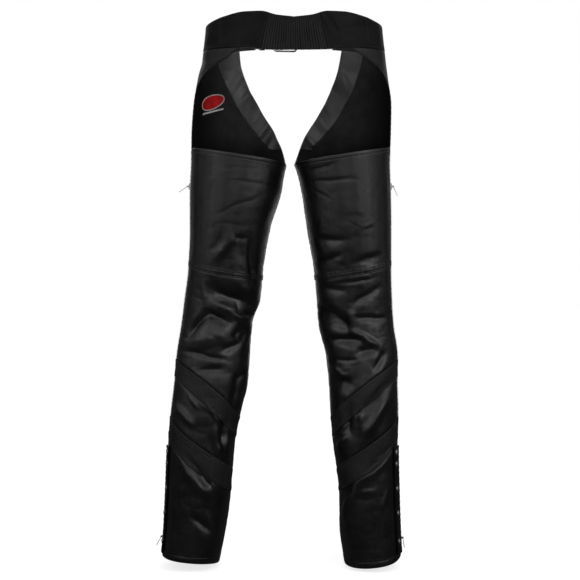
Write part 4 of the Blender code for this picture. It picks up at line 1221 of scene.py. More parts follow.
def front_panels(leg):
    """The hip and thigh, their lining and facing, and the shin."""
    seam = seam_line(FRONT_SEAMS["thigh"])
    waist = f"waistband_side_{leg}"
    thigh = f"front_thigh_{leg}"
    hide = (FRONT_HIDE, FLESH)
    edges = (OUTER_EDGE, OPENING_EDGE, SEAM, LAP)
    ends = (WAIST_BOTTOM, seam)
    yield Panel(thigh, FRONT_SIDES, ends, HIP_GUESS, edges, hide, waist, bag=leg)
    yield Panel(
        f"lining_{leg}",
        (lining_outer_angle, lining_inner_angle),
        (WAIST_BOTTOM, seam_line(FRONT_SEAMS["thigh"], LINING_SHORT)),
        HIP_GUESS,
        (RAW, RAW, RAW, RAW),
        (LINING_CLOTH,),
        waist,
        thick=LINING,
        lift=LINING_LIFT,
        step=LINING_STEP,
        slot="lining",
        inward=True,
    )
    yield Panel(
        f"facing_{leg}",
        (facing_angle, front_inner_angle),
        (WAIST_BOTTOM, level(FACING_END_Z)),
        FACING_GUESS,
        (FACING_EDGE, OPENING_EDGE, RAW, FACING_EDGE),
        (FACING_HIDE,),
        thigh,
        thick=FACING,
        lift=LINING_LIFT,
        step=FACING_STEP,
        bag=leg,
        inward=True,
    )
    ends = (seam, seam_line(FRONT_SEAMS[f"hem_{leg}"]))
    edges = (BY_ZIP, SEAM, SEAM, HEM)
    yield Panel(f"front_shin_{leg}", FRONT_SIDES, ends, SHIN_GUESS, edges, hide, thigh, bag=leg)


class BackPiece(NamedTuple):
    name: str
    top: str
    bottom: str
    edges: tuple  # outer side, inner side, top, bottom
    above: str


BACK_PIECES = (
    BackPiece("back_thigh", "seat", "thigh", (BY_ZIP, SEAM, TURNED, LAP), "front_thigh"),
    BackPiece("back_knee", "thigh", "band_upper_top", SEAMED, "back_thigh"),
    BackPiece("back_band_upper", "band_upper_top", "band_upper_low", BANDED, "back_knee"),
    BackPiece("back_calf", "band_upper_low", "band_lower_top", SEAMED, "back_band_upper"),
    BackPiece("back_band_lower", "band_lower_top", "band_lower_low", BANDED, "back_calf"),
    BackPiece("back_ankle", "band_lower_low", "hem", (BY_ZIP, SEAM, SEAM, HEM), "back_band_lower"),
)


def back_panels(leg):
    """The leather from the seat to the hem, with the two diagonal bands of matte leather."""
    for piece in BACK_PIECES:
        top = BACK_SEAMS[piece.top]
        bottom = BACK_SEAMS[f"hem_{leg}" if piece.bottom == "hem" else piece.bottom]
        band = "band" in piece.name
        proud = BAND_PROUD if band else 0.0
        yield Panel(
            f"{piece.name}_{leg}",
            BACK_SIDES,
            (seam_line(top), seam_line(bottom)),
            (top[1], bottom[1]),
            piece.edges,
            (MATTE_HIDE if band else HIDE, FLESH),
            f"{piece.above}_{leg}",
            thick=LEATHER + proud,
            lift=proud,
            slot="matte_leather" if band else "leather",
            bag=leg,
        )


# ---------------------------------------------------------------- zips, flaps and snaps

TAPE_LINES = (0.4, 1.0, 1.8, 2.6, 3.3, 4.2, 7.0, 10.0, 12.5)  # distances from the middle
TAPE_STEP = 4.0
TAPE_THICK = 0.5
TAPE_HIGH = -0.4  # where the teeth sit on it
TAPE_DROP = 1.75  # down to under the leather
TAPE_SLOPE = (1.7, 3.3)
TOOTH_PITCH = 2.9
TOOTH_REACH = (-0.9, 2.7)  # past the middle, and back over the tape
TOOTH_HALF = 0.62  # half its size along the zip
TOOTH_SLIM = (0.75, 0.8)  # share of that size at its tip and at its top
TOOTH_LOW = -1.5
TOOTH_HIGH = 1.4
TOOTH_CREASE = 30  # degrees
TEETH_INSET = 2.0  # from both ends of the tape


def build_zip(leg):
    heights = np.arange(ZIP_TOP_Z, ZIP_BOTTOM_Z - 1, -TAPE_STEP)[:, None]
    away = np.array([TAPE_LINES])
    drop = TAPE_HIGH - TAPE_DROP * soft_step(away, *TAPE_SLOPE) + 0 * heights
    for half, side, above in (("front", 1, "front_thigh"), ("back", -1, "back_thigh")):
        angle = beside_zip(leg, heights, side * (zip_spread(heights) + away))
        z = heights + 0 * angle
        normals = plain(leg, angle, z)[1]
        outside = on_form(leg, angle, z, drop)
        inside = on_form(leg, angle, z, drop - TAPE_THICK)
        obj = shell(f"zip_tape_{half}_{leg}", outside, inside, normals, (TAPE_CLOTH,), "zip_chain")
        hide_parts(f"zip_{half}_{leg}")
        declare(outside)


def build_teeth(leg):
    """Both rows of teeth, half a pitch apart, so that they mesh where the zip is closed."""
    box = np.array([(x, y, z) for x in (0, 1) for y in (0, 1) for z in (0, 1)])
    quads = np.array([(0, 1, 3, 2), (4, 6, 7, 5), (0, 4, 5, 1), (2, 3, 7, 6), (0, 2, 6, 4), (1, 5, 7, 3)])
    tip, top = TOOTH_SLIM
    slim = np.where(box[:, 1] == 1, top, 1.0) * np.where(box[:, 0] == 0, tip, 1.0)
    reach = TOOTH_REACH[0] + (TOOTH_REACH[1] - TOOTH_REACH[0]) * box[:, 0]
    points = []
    faces = []
    for side in (1, -1):
        start = ZIP_TOP_Z - TEETH_INSET - (TOOTH_PITCH / 2 if side < 0 else 0)
        middle = np.arange(start, ZIP_BOTTOM_Z + TEETH_INSET, -TOOTH_PITCH)[:, None]
        z = middle + TOOTH_HALF * slim * (2 * box[:, 2] - 1)
        lift = TOOTH_LOW + (TOOTH_HIGH - TOOTH_LOW) * box[:, 1] + 0 * z
        angle = beside_zip(leg, z, side * (zip_spread(middle) + reach))
        place = on_form(leg, angle, z, lift)
        shift = len(box) * np.arange(len(place))[:, None, None] + sum(len(p) for p in points)
        turned = quads if (side > 0) == (leg == "right") else quads[:, ::-1]
        faces.append((turned[None] + shift).reshape(-1, 4))
        points.append(place.reshape(-1, 3))
    all_faces = np.concatenate(faces).tolist()
    add_mesh(f"zip_teeth_{leg}", np.concatenate(points), all_faces, [TEETH], "zip_chain", TOOTH_CREASE)


def local_frame(leg, z, distance, lift):
    """Frame on the leg form beside the zip: X to the front, Y straight out, Z up along the form."""
    angle = beside_zip(leg, z, distance)
    here = Vector(on_form(leg, angle, z, lift))
    out = (Vector(on_form(leg, angle, z, lift + 1)) - here).normalized()
    up = (Vector(on_form(leg, angle, z + 2, lift)) - Vector(on_form(leg, angle, z - 2, lift))).normalized()
    out = (out - up * out.dot(up)).normalized()
    side = out.cross(up)
    turn = Matrix((side, out, up)).transposed().to_4x4()
    return Matrix.Translation(here) @ turn


FLAP_EDGE = Edge((2.5,), 0.2, 4.0)
FLAP_STEP = 2.4
FLAP_INSET = ZIP_HALF + 2 * SEAM_GAP
SNAP_SIDES = 36
SNAP_PROFILE = (
    (0.0, -0.3),
    (6.0, -0.3),
    (6.15, 0.5),
    (5.9, 1.0),
    (5.3, 1.25),
    (4.7, 1.15),
    (4.3, 1.3),
    (3.4, 1.85),
    (2.2, 2.25),
    (1.2, 2.3),
    (0.6, 2.15),
    (0.0, 2.1),
)


def build_flap(leg):
    far = FLAP_INSET + FLAP_WIDTH
    lift = FLAP_LIFT + FLAP_THICK
    flap = Panel(
        f"snap_flap_{leg}",
        (behind_zip(FLAP_INSET), behind_zip(far)),
        (level(FLAP_TOP_Z), level(FLAP_BOTTOM_Z)),
        (FLAP_TOP_Z, FLAP_BOTTOM_Z),
        (FLAP_EDGE,) * 4,
        (FLAP_HIDE, HIDE),
        f"back_ankle_{leg}",
        thick=FLAP_THICK,
        lift=lift,
        step=FLAP_STEP,
        bag=leg,
        cells=(60, 20),
    )
    add_panel(flap, leg)
    for number, height in enumerate(SNAP_HEIGHTS, 1):
        place = local_frame(leg, height, SNAP_FROM_EDGE - far, lift)
        build_snap(f"snap_cap_{number}_{leg}", place, f"snap_{number}_{leg}")


def build_snap(name, place, node):
    """A domed cap with a rolled rim and a dimple, turned about its own Y."""
    turns = np.linspace(0, math.tau, SNAP_SIDES, endpoint=False)
    points = []
    rings = []
    for r, h in SNAP_PROFILE:
        count = 1 if r == 0 else SNAP_SIDES
        rings.append(list(range(len(points), len(points) + count)))
        points += [Vector((r * math.cos(t), h, r * math.sin(t))) for t in turns[:count]]
    faces = []
    for low, high in zip(rings, rings[1:]):
        for k in range(SNAP_SIDES):
            after = k + 1
            corners = (low[k % len(low)], low[after % len(low)], high[after % len(high)], high[k % len(high)])
            faces.append(list(dict.fromkeys(corners)))
    placed = [place @ point for point in points]
    obj = add_mesh(name, [tuple(p) for p in placed], faces, [NICKEL], "nickel", 0)
    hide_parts(node)


HARDWARE_EDGE = 0.22  # radius
HARDWARE_CREASE = 35  # degrees


def dress_hardware():
    """The solids of the sliders, tabs and buckle stay, with rounded edges and a nickel finish."""
    for name, node in frame["nodes"].items():
        if not name.startswith(("slider_", "pull_tab_", "buckle_")):
            continue
        node.data.materials.clear()
        node.data.materials.append(NICKEL)
        if name == "buckle_frame":
            continue
        edge = node.modifiers.new("rounded_edges", "BEVEL")
        edge.width = HARDWARE_EDGE * MM
        edge.segments = 2
        edge.limit_method = "ANGLE"
        edge.angle_limit = math.radians(HARDWARE_CREASE)


# ---------------------------------------------------------------- waistband and belt

WAIST_EDGE = Edge((3.5,), 0.25, 5.5)
WAIST_END = Edge((2.5,), 0.2, 4.0)
WAIST_STEP = 2.6
WAIST_GUESS = (25, -20)
WAIST_SEAM_RADIUS = 150.0  # turns the gap at the belt into an angle
ELASTIC_SEAM_Z = -24.0  # where the elastic's half widths are measured
ELASTIC_TOP_ANGLE = float(angle_at("right", ELASTIC_TOP_HALF, ELASTIC_SEAM_Z, -1))
ELASTIC_LOW_ANGLE = float(angle_at("right", ELASTIC_BOTTOM_HALF, ELASTIC_SEAM_Z, -1))


def elastic_edge(leg, z):
    """Angle of the slanted seam between the elastic and a back piece of the waistband."""
    angle = ELASTIC_TOP_ANGLE + 0 * z
    for _ in range(4):
        share = (WAIST_TOP(angle) - z) / (WAIST_TOP(angle) - WAIST_BOTTOM(angle))
        angle = ELASTIC_TOP_ANGLE + (ELASTIC_LOW_ANGLE - ELASTIC_TOP_ANGLE) * share
    return angle


def waist_panels(leg):
    side = level(WAIST_SIDE_ANGLE)
    front = level(WAIST_FRONT_ANGLE - math.degrees(SEAM_GAP / 2 / WAIST_SEAM_RADIUS))
    back = f"waistband_back_{leg}"
    spans = ((back, elastic_edge, side, "waistband_elastic"), (f"waistband_side_{leg}", side, front, back))
    for name, first, last, above in spans:
        yield Panel(
            name,
            (first, last),
            (WAIST_TOP, WAIST_BOTTOM),
            WAIST_GUESS,
            (WAIST_END, WAIST_END, WAIST_EDGE, WAIST_EDGE),
            (WAIST_HIDE, LINING_CLOTH),
            above,
            thick=WAISTBAND,
            step=WAIST_STEP,
            bag="waist",
        )


RIB_COLUMNS = 12
RIB_ROUND = 0.7  # exponent of a rib's section: below 1 is puffier
RIB_WANDER = 0.04  # how far a rib strays, in ribs
RIB_UNEVEN = 0.2
# Sizes of those noises, in columns across and in ninths of the height
WANDER_SIZE = (14.0, 2.2, 1.0)
UNEVEN_SIZE = (9.0, 3.0, 1.0)
RIB_ROWS = 27
ELASTIC_RIM = (0.0, 0.004, 0.014)  # shares of the height near the top edge, as near the lower one
ELASTIC_TALL = 64.0
SHIRR_ROWS = (0.2, 0.4, 0.6, 0.8)  # heights of the elastic threads, as shares of the panel
SHIRR_DEPTH = 0.3
SHIRR_WIDTH = 0.022


def build_elastic():
    """The shirred back: puffy ribs, uneven in width and depth, pinched by rows of elastic thread."""
    steps = RIB_COLUMNS * ELASTIC_RIBS
    share = np.linspace(-1, 1, steps + 1)[None, :]
    inner = np.linspace(0.03, 0.97, RIB_ROWS)
    lower_rim = [1 - place for place in reversed(ELASTIC_RIM)]
    rows = np.concatenate([ELASTIC_RIM, inner, lower_rim])[:, None]
    half = 90 + ELASTIC_TOP_ANGLE + (ELASTIC_LOW_ANGLE - ELASTIC_TOP_ANGLE) * rows
    distance = -90 + np.abs(share * half)
    z = WAIST_TOP(distance) + (WAIST_BOTTOM(distance) - WAIST_TOP(distance)) * rows
    points, normals = plain("right", -90 + share * half, z)
    place = np.stack([share * steps + 0 * rows, 9 * rows + 0 * share, 0 * z], axis=-1)
    wander = RIB_WANDER * lattice_noise(place, WANDER_SIZE, 3.0)
    depth = RIB_DEPTH * (1 + RIB_UNEVEN * lattice_noise(place, UNEVEN_SIZE, 13.0))
    turn = math.pi * ((share + 1) / 2 * ELASTIC_RIBS + wander)
    crest = -depth * (1 - np.abs(np.sin(turn)) ** RIB_ROUND)
    for row in SHIRR_ROWS:
        crest -= SHIRR_DEPTH * np.exp(-(((rows - row) / SHIRR_WIDTH) ** 2))
    crest += cut_edge(np.minimum(rows, 1 - rows) * ELASTIC_TALL)
    outside = points + normals * crest[..., None]
    inside = points - normals * WAISTBAND
    materials = (SHIRRED_HIDE, LINING_CLOTH)
    obj = shell("soft_waistband_elastic", outside, inside, normals, materials, "shirred_leather")
    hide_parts("waistband_elastic")
    width = lengths(points, 1)[:, -1].max() * MM
    tall = lengths(points, 0)[-1].max() * MM


BUCKLE_HEEL_X = -41.0
BUCKLE_REACH = 46.0
BUCKLE_WIRE = 1.8
STRAP_CLEARANCE = 0.7
STRAP_STEP = 2.6
STRAP_RIM = (0.0, CURVE_LINE, CURVE, 2.2, 3.0, 3.8, 6.0, 9.0, 12.0)  # lines of points from an edge
STRAP_STITCH = 3.0  # distance of the stitches from the edge
STRAP_GROOVE = 0.5  # half width of their groove
STRAP_LINE_GAP = 0.6  # least distance between two of its cross lines
STRAP_END = 2.0  # from an end to the first even line
STRAP_STITCH_LINE = STRAP_RIM.index(STRAP_STITCH)
STRAP_CROWN = 0.5  # how much its middle stands above its edge
STRAP_CROWN_REACH = 11.0
BELT_FRONT_RADIUS = 130.0  # turns the gap at the waistband into an angle
TONGUE_OVER = BELT_THICK + STRAP_CLEARANCE
TONGUE_END_X = -96.0
TONGUE_POINT = 14.0
TONGUE_TIP_SHARE = 0.45
TONGUE_CLIMB = (4.0, BUCKLE_REACH - 8)  # from the buckle's heel: fully over it, and down on the band
KEEPER_X = -66.0
KEEPER_HALF = 5.0
KEEPER_THICK = 1.4
KEEPER_GAP = 0.5
KEEPER_CORNERS = (2.2, 0.9)  # outer and inner radius
KEEPER_ARC = 5  # sides of a rounded corner
KEEPER_LINES = (-1, -0.86, -0.5, 0, 0.5, 0.86, 1)  # across it, as shares of its half width
KEEPER_SWELL = (-0.25, -0.05, 0, 0, 0, -0.05, -0.25)  # thinner at its edges
SLOT_START = 5.0
SLOT_END = 13.4
SLOT_HALF = 2.1
SLOT_COLUMNS = 8


def belt_place(x, z):
    """Points and outward directions on the front of the waist ring by the place across the body."""
    x, z = np.broadcast_arrays(np.asarray(x, float), np.asarray(z, float))
    angle = np.where(x >= 0, angle_at("right", x, z, 1), 180 - angle_at("right", -x, z, 1))
    return plain("right", angle, z)


def tongue_rise(x):
    """How far the tongue lies over the plain band as it climbs over the buckle and the other strap."""
    top, foot = TONGUE_CLIMB
    return TONGUE_OVER * (1 - soft_step(x, BUCKLE_HEEL_X + top, BUCKLE_HEEL_X + foot))


def belt_lines(start, end, extra=()):
    """Places along a strap: edge lines at both ends, even steps between, and the extra ones."""
    ends = [start + s for s in (0, CURVE_LINE, CURVE)] + [end - s for s in (0, CURVE_LINE, CURVE)]
    between = np.arange(start + STRAP_END, end - STRAP_END, STRAP_STEP)
    clear = [x for x in between if all(abs(x - other) > STRAP_LINE_GAP for other in extra)]
    return np.array(sorted([*ends, *clear, *extra]))


def build_belt():
    gap = math.degrees(SEAM_GAP / 2 / BELT_FRONT_RADIUS)
    front_x = float(plain("right", WAIST_FRONT_ANGLE + gap, BELT_MIDDLE)[0][0])
    short_end = BUCKLE_HEEL_X - BUCKLE_WIRE - SEAM_GAP
    build_strap("belt_buckle_strap", belt_lines(-front_x, short_end), False)
    slot = (BUCKLE_HEEL_X + SLOT_START, BUCKLE_HEEL_X + SLOT_END)
    lines = belt_lines(TONGUE_END_X, front_x, slot)
    cut_slot(build_strap("belt_tongue", lines, True))
    build_keeper()


def build_strap(name, x, tongue):
    """A belt strap with a stitched edge. The tongue climbs over the other strap and ends in a point."""
    x = x[None, :]
    upper = [BELT_HIGH - line for line in STRAP_RIM]
    lower = [BELT_LOW + line for line in reversed(STRAP_RIM)]
    rows = np.array([*upper, BELT_MIDDLE, *lower])[:, None]
    rise = 0 * x
    z = rows + 0 * x
    if tongue:
        rise = tongue_rise(x)
        full = soft_step(x, TONGUE_END_X, TONGUE_END_X + TONGUE_POINT)
        z = BELT_MIDDLE + (rows - BELT_MIDDLE) * (TONGUE_TIP_SHARE + (1 - TONGUE_TIP_SHARE) * full)
    edge = np.minimum(BELT_HIGH - rows, rows - BELT_LOW)
    shape = cut_edge(np.minimum(edge, np.minimum(x - x[:, :1], x[:, -1:] - x)))
    shape -= STITCH_GROOVE * np.exp(-(((edge - STRAP_STITCH) / STRAP_GROOVE) ** 2))
    shape += STRAP_CROWN * (soft_step(edge, STRAP_STITCH, STRAP_CROWN_REACH) - 1)
    points, normals = belt_place(x, z)
    outside = points + normals * (rise + shape)[..., None]
    inside = points + normals * (rise - BELT_THICK + 0 * shape)[..., None]
    obj = shell(f"soft_{name}", outside, inside, normals, (HIDE,), "leather")
    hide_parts(name)
    declare(points)
    facing = surface_normals(outside, normals)
    for k in (STRAP_STITCH_LINE, -1 - STRAP_STITCH_LINE):
        add_stitches("waist", outside[k, 3:-3], facing[k, 3:-3])
    return obj


def cut_slot(tongue):
    """Cuts the prong's long hole through the tongue."""
    middle = BUCKLE_HEEL_X + (SLOT_START + SLOT_END) / 2
    straight = (SLOT_END - SLOT_START) / 2 - SLOT_HALF
    here, out = (Vector(v) for v in belt_place(middle, BELT_MIDDLE))
    along = Vector((out.y, -out.x, 0))
    turns = [math.radians(-90 + 180 * k / SLOT_COLUMNS) for k in range(SLOT_COLUMNS + 1)]
    outline = [(straight + SLOT_HALF * math.cos(t), SLOT_HALF * math.sin(t)) for t in turns]
    outline += [(-x, -z) for x, z in outline]
    points = []
    for depth in (-BELT_THICK, TONGUE_OVER + BELT_THICK):
        points += [here + out * depth + along * x + Vector((0, 0, z)) for x, z in outline]
    count = len(outline)
    faces = [list(range(count)), list(range(2 * count - 1, count - 1, -1))]
    faces += [[k, k + count, (k + 1) % count + count, (k + 1) % count] for k in range(count)]
    mesh = bpy.data.meshes.new("slot_cutter")
    mesh.from_pydata([tuple(p * MM) for p in points], [], faces)
    cutter = bpy.data.objects.new("slot_cutter", mesh)
    bpy.context.scene.collection.objects.link(cutter)
    cut = tongue.modifiers.new("slot", "BOOLEAN")
    cut.operation = "DIFFERENCE"
    cut.solver = "EXACT"
    cut.object = cutter
    graph = bpy.context.evaluated_depsgraph_get()
    result = bpy.data.meshes.new_from_object(tongue.evaluated_get(graph))
    tongue.modifiers.clear()
    tongue.data = result
    bpy.data.objects.remove(cutter)


def build_keeper():
    """A leather loop with rounded corners round both straps."""
    half_tall = (BELT_HIGH - BELT_LOW) / 2 + KEEPER_GAP
    under = -BELT_THICK - KEEPER_GAP
    over = TONGUE_OVER + KEEPER_GAP
    half_deep = (over - under) / 2
    middle = (over + under) / 2
    outlines = []
    for grow, corner in ((KEEPER_THICK, KEEPER_CORNERS[0]), (0.0, KEEPER_CORNERS[1])):
        tall, deep = half_tall + grow, half_deep + grow
        outline = []
        for quarter, (sx, sy) in enumerate(((1, 1), (-1, 1), (-1, -1), (1, -1))):
            for s in range(KEEPER_ARC + 1):
                turn = math.radians(90 * quarter + 90 * s / KEEPER_ARC)
                high = BELT_MIDDLE + sx * (tall - corner) + corner * math.cos(turn)
                out = middle + sy * (deep - corner) + corner * math.sin(turn)
                outline.append((high, out))
        outlines.append(np.array(outline))
    across = KEEPER_X + np.array(KEEPER_LINES) * KEEPER_HALF
    loops = []
    for outline, sign in zip(outlines, (1, -1)):
        for x, low in zip(across[::sign], KEEPER_SWELL[::sign]):
            points, normals = belt_place(x, outline[:, 0])
            shrink = 1 + sign * low / half_deep
            lift = middle + (outline[:, 1] - middle) * shrink
            loops.append(points + normals * lift[:, None])
    grid = np.stack(loops)
    faces = loop_faces(len(grid), grid.shape[1])
    obj = add_mesh("soft_belt_keeper", grid.reshape(-1, 3), faces, [HIDE], "leather")
    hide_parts("belt_keeper")


# ---------------------------------------------------------------- label

LABEL_Z = -112.0
LABEL_X = 172.0
LABEL_WIDTH = 60.0
LABEL_HEIGHT = 32.0
LABEL_TILT = 16.0
LABEL_THICK = 0.7
LABEL_TOP = LINING_LIFT - LINING - 0.35  # its face against the lining
LABEL_ROUND = 2.1  # exponent of its outline: 2 is an oval
LABEL_ROWS = 25
LABEL_COLUMNS = 31
LABEL_TIP = 0.0006  # keeps its first and last row from closing to a point
RIM_POINTS = 96
RIM_SIDES = 8
RIM_INSET = 0.6
RIM_HALF = (1.1, 0.62)  # its half width along the label, and its half height
RIM_STITCHES = 48
RIM_WAVE = 0.12
BAR_HALF = (29.0, 1.8)
BAR_RIGHT = 4.0
BAR_DOWN = -20.5
BAR_SUNK = 0.1
BAR_PROUD = 0.08
BAR_BULGE = 0.25


def on_label(u, v, lift):
    """Points on the inside of the left hip by the place on the label, in millimetres from its centre."""
    middle = angle_at("left", LABEL_X, LABEL_Z, 1)
    per_mm = math.degrees(1 / radius("left", middle, LABEL_Z))
    tilt = math.radians(LABEL_TILT)
    along = u * math.cos(tilt) - v * math.sin(tilt)
    z = LABEL_Z + u * math.sin(tilt) + v * math.cos(tilt)
    angle = middle + along * per_mm
    normals = plain("left", angle, z)[1]
    return on_form("left", angle, z, lift), normals


def build_label():
    """A plain red woven patch with a pale stitched rim and a plain pale bar. It carries no mark."""
    down = np.sin(np.radians(np.linspace(-90, 90, LABEL_ROWS)))[:, None]
    reach = np.clip(1 - np.abs(down) ** LABEL_ROUND, LABEL_TIP, 1) ** (1 / LABEL_ROUND)
    u = np.linspace(-1, 1, LABEL_COLUMNS)[None, :] * reach * LABEL_WIDTH / 2
    v = -down * LABEL_HEIGHT / 2 + 0 * u
    outside, normals = on_label(u, v, LABEL_TOP + 0 * u)
    inside, _ = on_label(u, v, LABEL_TOP - LABEL_THICK + 0 * u)
    obj = shell("soft_label", outside, inside, normals, (LABEL_CLOTH,), "label")
    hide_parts("label")
    build_label_rim()
    build_label_bar()


def build_label_rim():
    """The pale overlocked edge: a cord round the oval, with a swell for each stitch."""
    rim = np.linspace(0, math.tau, RIM_POINTS, endpoint=False)
    power = 2 / LABEL_ROUND
    u = np.sign(np.cos(rim)) * np.abs(np.cos(rim)) ** power * (LABEL_WIDTH / 2 - RIM_INSET)
    v = np.sign(np.sin(rim)) * np.abs(np.sin(rim)) ** power * (LABEL_HEIGHT / 2 - RIM_INSET)
    centre, normals = on_label(u, v, LABEL_TOP - LABEL_THICK / 2 + 0 * u)
    ahead = np.roll(centre, -1, axis=0) - np.roll(centre, 1, axis=0)
    side = np.cross(ahead, normals)
    side /= np.linalg.norm(side, axis=1, keepdims=True)
    wave = (1 + RIM_WAVE * np.cos(RIM_STITCHES * rim))[:, None]
    wide, high = RIM_HALF
    loops = []
    for turn in np.linspace(0, math.tau, RIM_SIDES, endpoint=False):
        loops.append(centre + wave * (side * math.cos(turn) * wide + normals * math.sin(turn) * high))
    faces = loop_faces(RIM_SIDES, RIM_POINTS)
    add_mesh("label_rim", np.concatenate(loops), faces, [PALE_THREAD], "label", 0)


def build_label_bar():
    """The plain pale bar under the oval."""
    u = BAR_RIGHT + np.linspace(-1, 1, 21)[None, :] * BAR_HALF[0]
    v = BAR_DOWN - np.linspace(-1, 1, 7)[:, None] * BAR_HALF[1] + 0 * u
    u = u + 0 * v
    bulge = BAR_BULGE * (1 - ((v - BAR_DOWN) / BAR_HALF[1]) ** 2)
    face = LABEL_TOP - LABEL_THICK
    outside, normals = on_label(u, v, face + BAR_SUNK + 0 * bulge)
    inside, _ = on_label(u, v, face - BAR_PROUD - bulge)
    shell("label_bar", outside, inside, normals, (PALE_THREAD,), "label")


# ---------------------------------------------------------------- camera, floor and light

CAMERA_PLACE = (-0.008, -3.0, -0.496)
CAMERA_LENS = 93.1
CAMERA_SENSOR = 36.0
FLOOR_DROP = 0.006
FLOOR_HALF = 40.0
FLOOR_FADE = (0.9, 2.6)  # distance over which the floor turns from pale to the backdrop's white
FLOOR_GLOW = (0.74, 1.0)
FLOOR_MOTTLE = (3.0, 3.0)  # scale and detail
FLOOR_TONES = ((0.8, 0.8, 0.8), (0.84, 0.84, 0.84))


def add_camera():
    data = bpy.data.cameras.new("photo_camera")
    data.lens = CAMERA_LENS
    data.sensor_width = CAMERA_SENSOR
    camera = bpy.data.objects.new("photo_camera", data)
    camera.location = CAMERA_PLACE
    camera.rotation_euler = (math.radians(90), 0, 0)
    bpy.context.scene.collection.objects.link(camera)
    bpy.context.scene.camera = camera


def add_floor():
    material, tree, shader = new_material("pale_floor", Roughness=0.9, Specular_IOR_Level=0.1)
    place = add_node(tree, "ShaderNodeTexCoord").outputs["Object"]
    tone = two_tone(tree, noise_of(tree, place, *FLOOR_MOTTLE), *FLOOR_TONES)
    tree.links.new(tone, shader.inputs["Base Color"])
    shader.inputs["Emission Color"].default_value = (1, 1, 1, 1)
    away = add_node(tree, "ShaderNodeVectorMath", {"operation": "LENGTH"}, Vector=place).outputs["Value"]
    glow = ranged(tree, away, *FLOOR_FADE, *FLOOR_GLOW)
    tree.links.new(glow, shader.inputs["Emission Strength"])
    mesh = bpy.data.meshes.new("floor")
    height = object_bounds()[0][2] - FLOOR_DROP
    far = FLOOR_HALF
    corners = [(x * far, y * far, height) for x, y in ((-1, -1), (1, -1), (1, 1), (-1, 1))]
    mesh.from_pydata(corners, [], [(0, 1, 2, 3)])
    mesh.materials.append(material)
    floor = bpy.data.objects.new("floor", mesh)
    bpy.context.scene.collection.objects.link(floor)
    floor.visible_glossy = False


class Tier(NamedTuple):
    """A row of softboxes at one height, each with a grid that keeps its light near where it is aimed."""

    name: str
    z: float
    aim_z: float
    tall: float
    spread: float  # degrees
    watts: float


class Stand(NamedTuple):
    name: str
    azimuth: float  # degrees from straight behind the garment, positive to its right
    width: float
    power: float  # share of a tier's watts


TIERS = (
    Tier("low", -0.6, 0.38, 0.8, 27, 0.75),
    Tier("middle", -0.15, -0.42, 0.6, 24, 0.06),
    Tier("high", 1.0, -0.3, 1.1, 33, 0.95),
    Tier("top", 2.9, -0.4, 2.6, 56, 2.1),
)
STANDS = (
    Stand("behind", 0, 2.4, 0.85),
    Stand("behind_right", 31, 1.3, 0.62),
    Stand("far_right", 54, 1.3, 0.74),
    Stand("right", 78, 1.1, 0.28),
    Stand("before_right", 104, 1.3, 0.15),
    Stand("behind_left", -31, 1.3, 0.42),
    Stand("far_left", -54, 1.3, 0.5),
    Stand("left", -78, 1.1, 0.24),
    Stand("before_left", -104, 1.3, 0.13),
    Stand("front", 180, 2.4, 1.3),
    Stand("front_right", 150, 1.3, 0.16),
    Stand("front_left", -150, 1.3, 0.16),
)
LIGHT_DISTANCE = 3.4
# One wide softbox for the front, which the photograph doesn't show
FILL_AZIMUTH = 180  # degrees
FILL_Z = -0.45
FILL_SIZE = (2.2, 1.1)
FILL_WATTS = 1.6
FILL_SPREAD = 70  # degrees
ROOM_GLOW = 0.03  # strength of the white backdrop as a light


def add_panel_light(name, azimuth, distance, z, aim_z, size, watts):
    """A rectangular area light at an azimuth round the garment, turned to its middle axis."""
    data = bpy.data.lights.new(name, "AREA")
    data.shape = "RECTANGLE"
    data.size, data.size_y = size
    data.energy = watts
    lamp = bpy.data.objects.new(name, data)
    turn = math.radians(azimuth)
    lamp.location = (distance * math.sin(turn), -distance * math.cos(turn), z)
    aim = Vector((0, 0, aim_z)) - lamp.location
    lamp.rotation_euler = aim.to_track_quat("-Z", "Y").to_euler()
    bpy.context.scene.collection.objects.link(lamp)
    return lamp


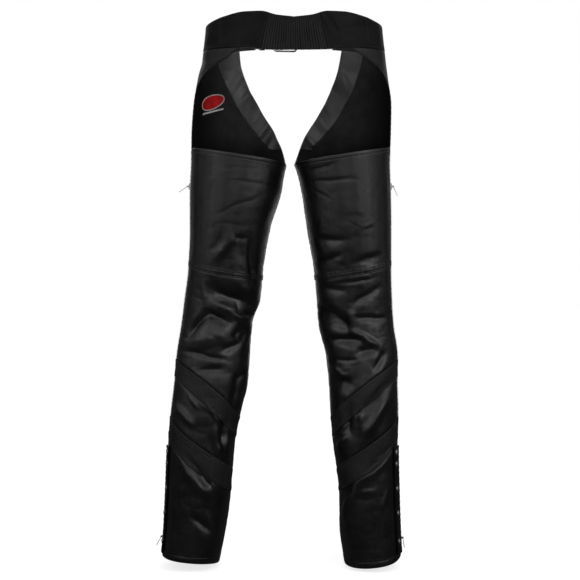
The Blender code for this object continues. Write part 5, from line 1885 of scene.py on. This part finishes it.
def add_lights():
    for tier in TIERS:
        for stand in STANDS:
            name = f"{stand.name}_{tier.name}"
            size = (stand.width, tier.tall)
            watts = tier.watts * stand.power
            lamp = add_panel_light(name, stand.azimuth, LIGHT_DISTANCE, tier.z, tier.aim_z, size, watts)
            lamp.data.spread = math.radians(tier.spread)
    lamp = add_panel_light("fill", FILL_AZIMUTH, LIGHT_DISTANCE, FILL_Z, FILL_Z, FILL_SIZE, FILL_WATTS)
    lamp.data.spread = math.radians(FILL_SPREAD)
    world = bpy.data.worlds.new("studio")
    world.use_nodes = True
    bpy.context.scene.world = world
    tree = world.node_tree
    back = tree.nodes["Background"]
    back.inputs["Color"].default_value = (1, 1, 1, 1)
    seen = add_node(tree, "ShaderNodeLightPath").outputs["Is Camera Ray"]
    tree.links.new(ranged(tree, seen, 0, 1, ROOM_GLOW, 1.0), back.inputs["Strength"])
    bpy.context.scene.view_settings.view_transform = "Standard"


GLINTS = (0, 100, -100, 180)  # azimuths of the large panels that only the metal reflects
GLINT_SIZE = 2.4
GLINT_WATTS = 5.5
GLINT_DISTANCE = 2.6
GLINT_Z = -0.3
GLINT_AIM_Z = -0.5


def add_glints():
    """White panels all round, linked to the metal parts alone, as small hardware mirrors a bright room."""
    shiny = bpy.data.collections.new("metal_parts")
    for obj in bpy.context.scene.objects:
        if obj.type == "MESH" and obj.data.materials and obj.data.materials[0] in (NICKEL, TEETH):
            shiny.objects.link(obj)
    size = (GLINT_SIZE, GLINT_SIZE)
    for azimuth in GLINTS:
        name = f"glint_{azimuth}"
        lamp = add_panel_light(name, azimuth, GLINT_DISTANCE, GLINT_Z, GLINT_AIM_Z, size, GLINT_WATTS)
        lamp.light_linking.receiver_collection = shiny


# ---------------------------------------------------------------- the whole garment

add_camera()
add_floor()
add_lights()
for leg in LEGS:
    for cut in (*front_panels(leg), *back_panels(leg)):
        add_panel(cut, leg)
    build_zip(leg)
    build_teeth(leg)
    build_flap(leg)
    for cut in waist_panels(leg):
        add_panel(cut, leg)
build_elastic()
build_belt()
build_label()
build_stitching()
dress_hardware()
add_glints()
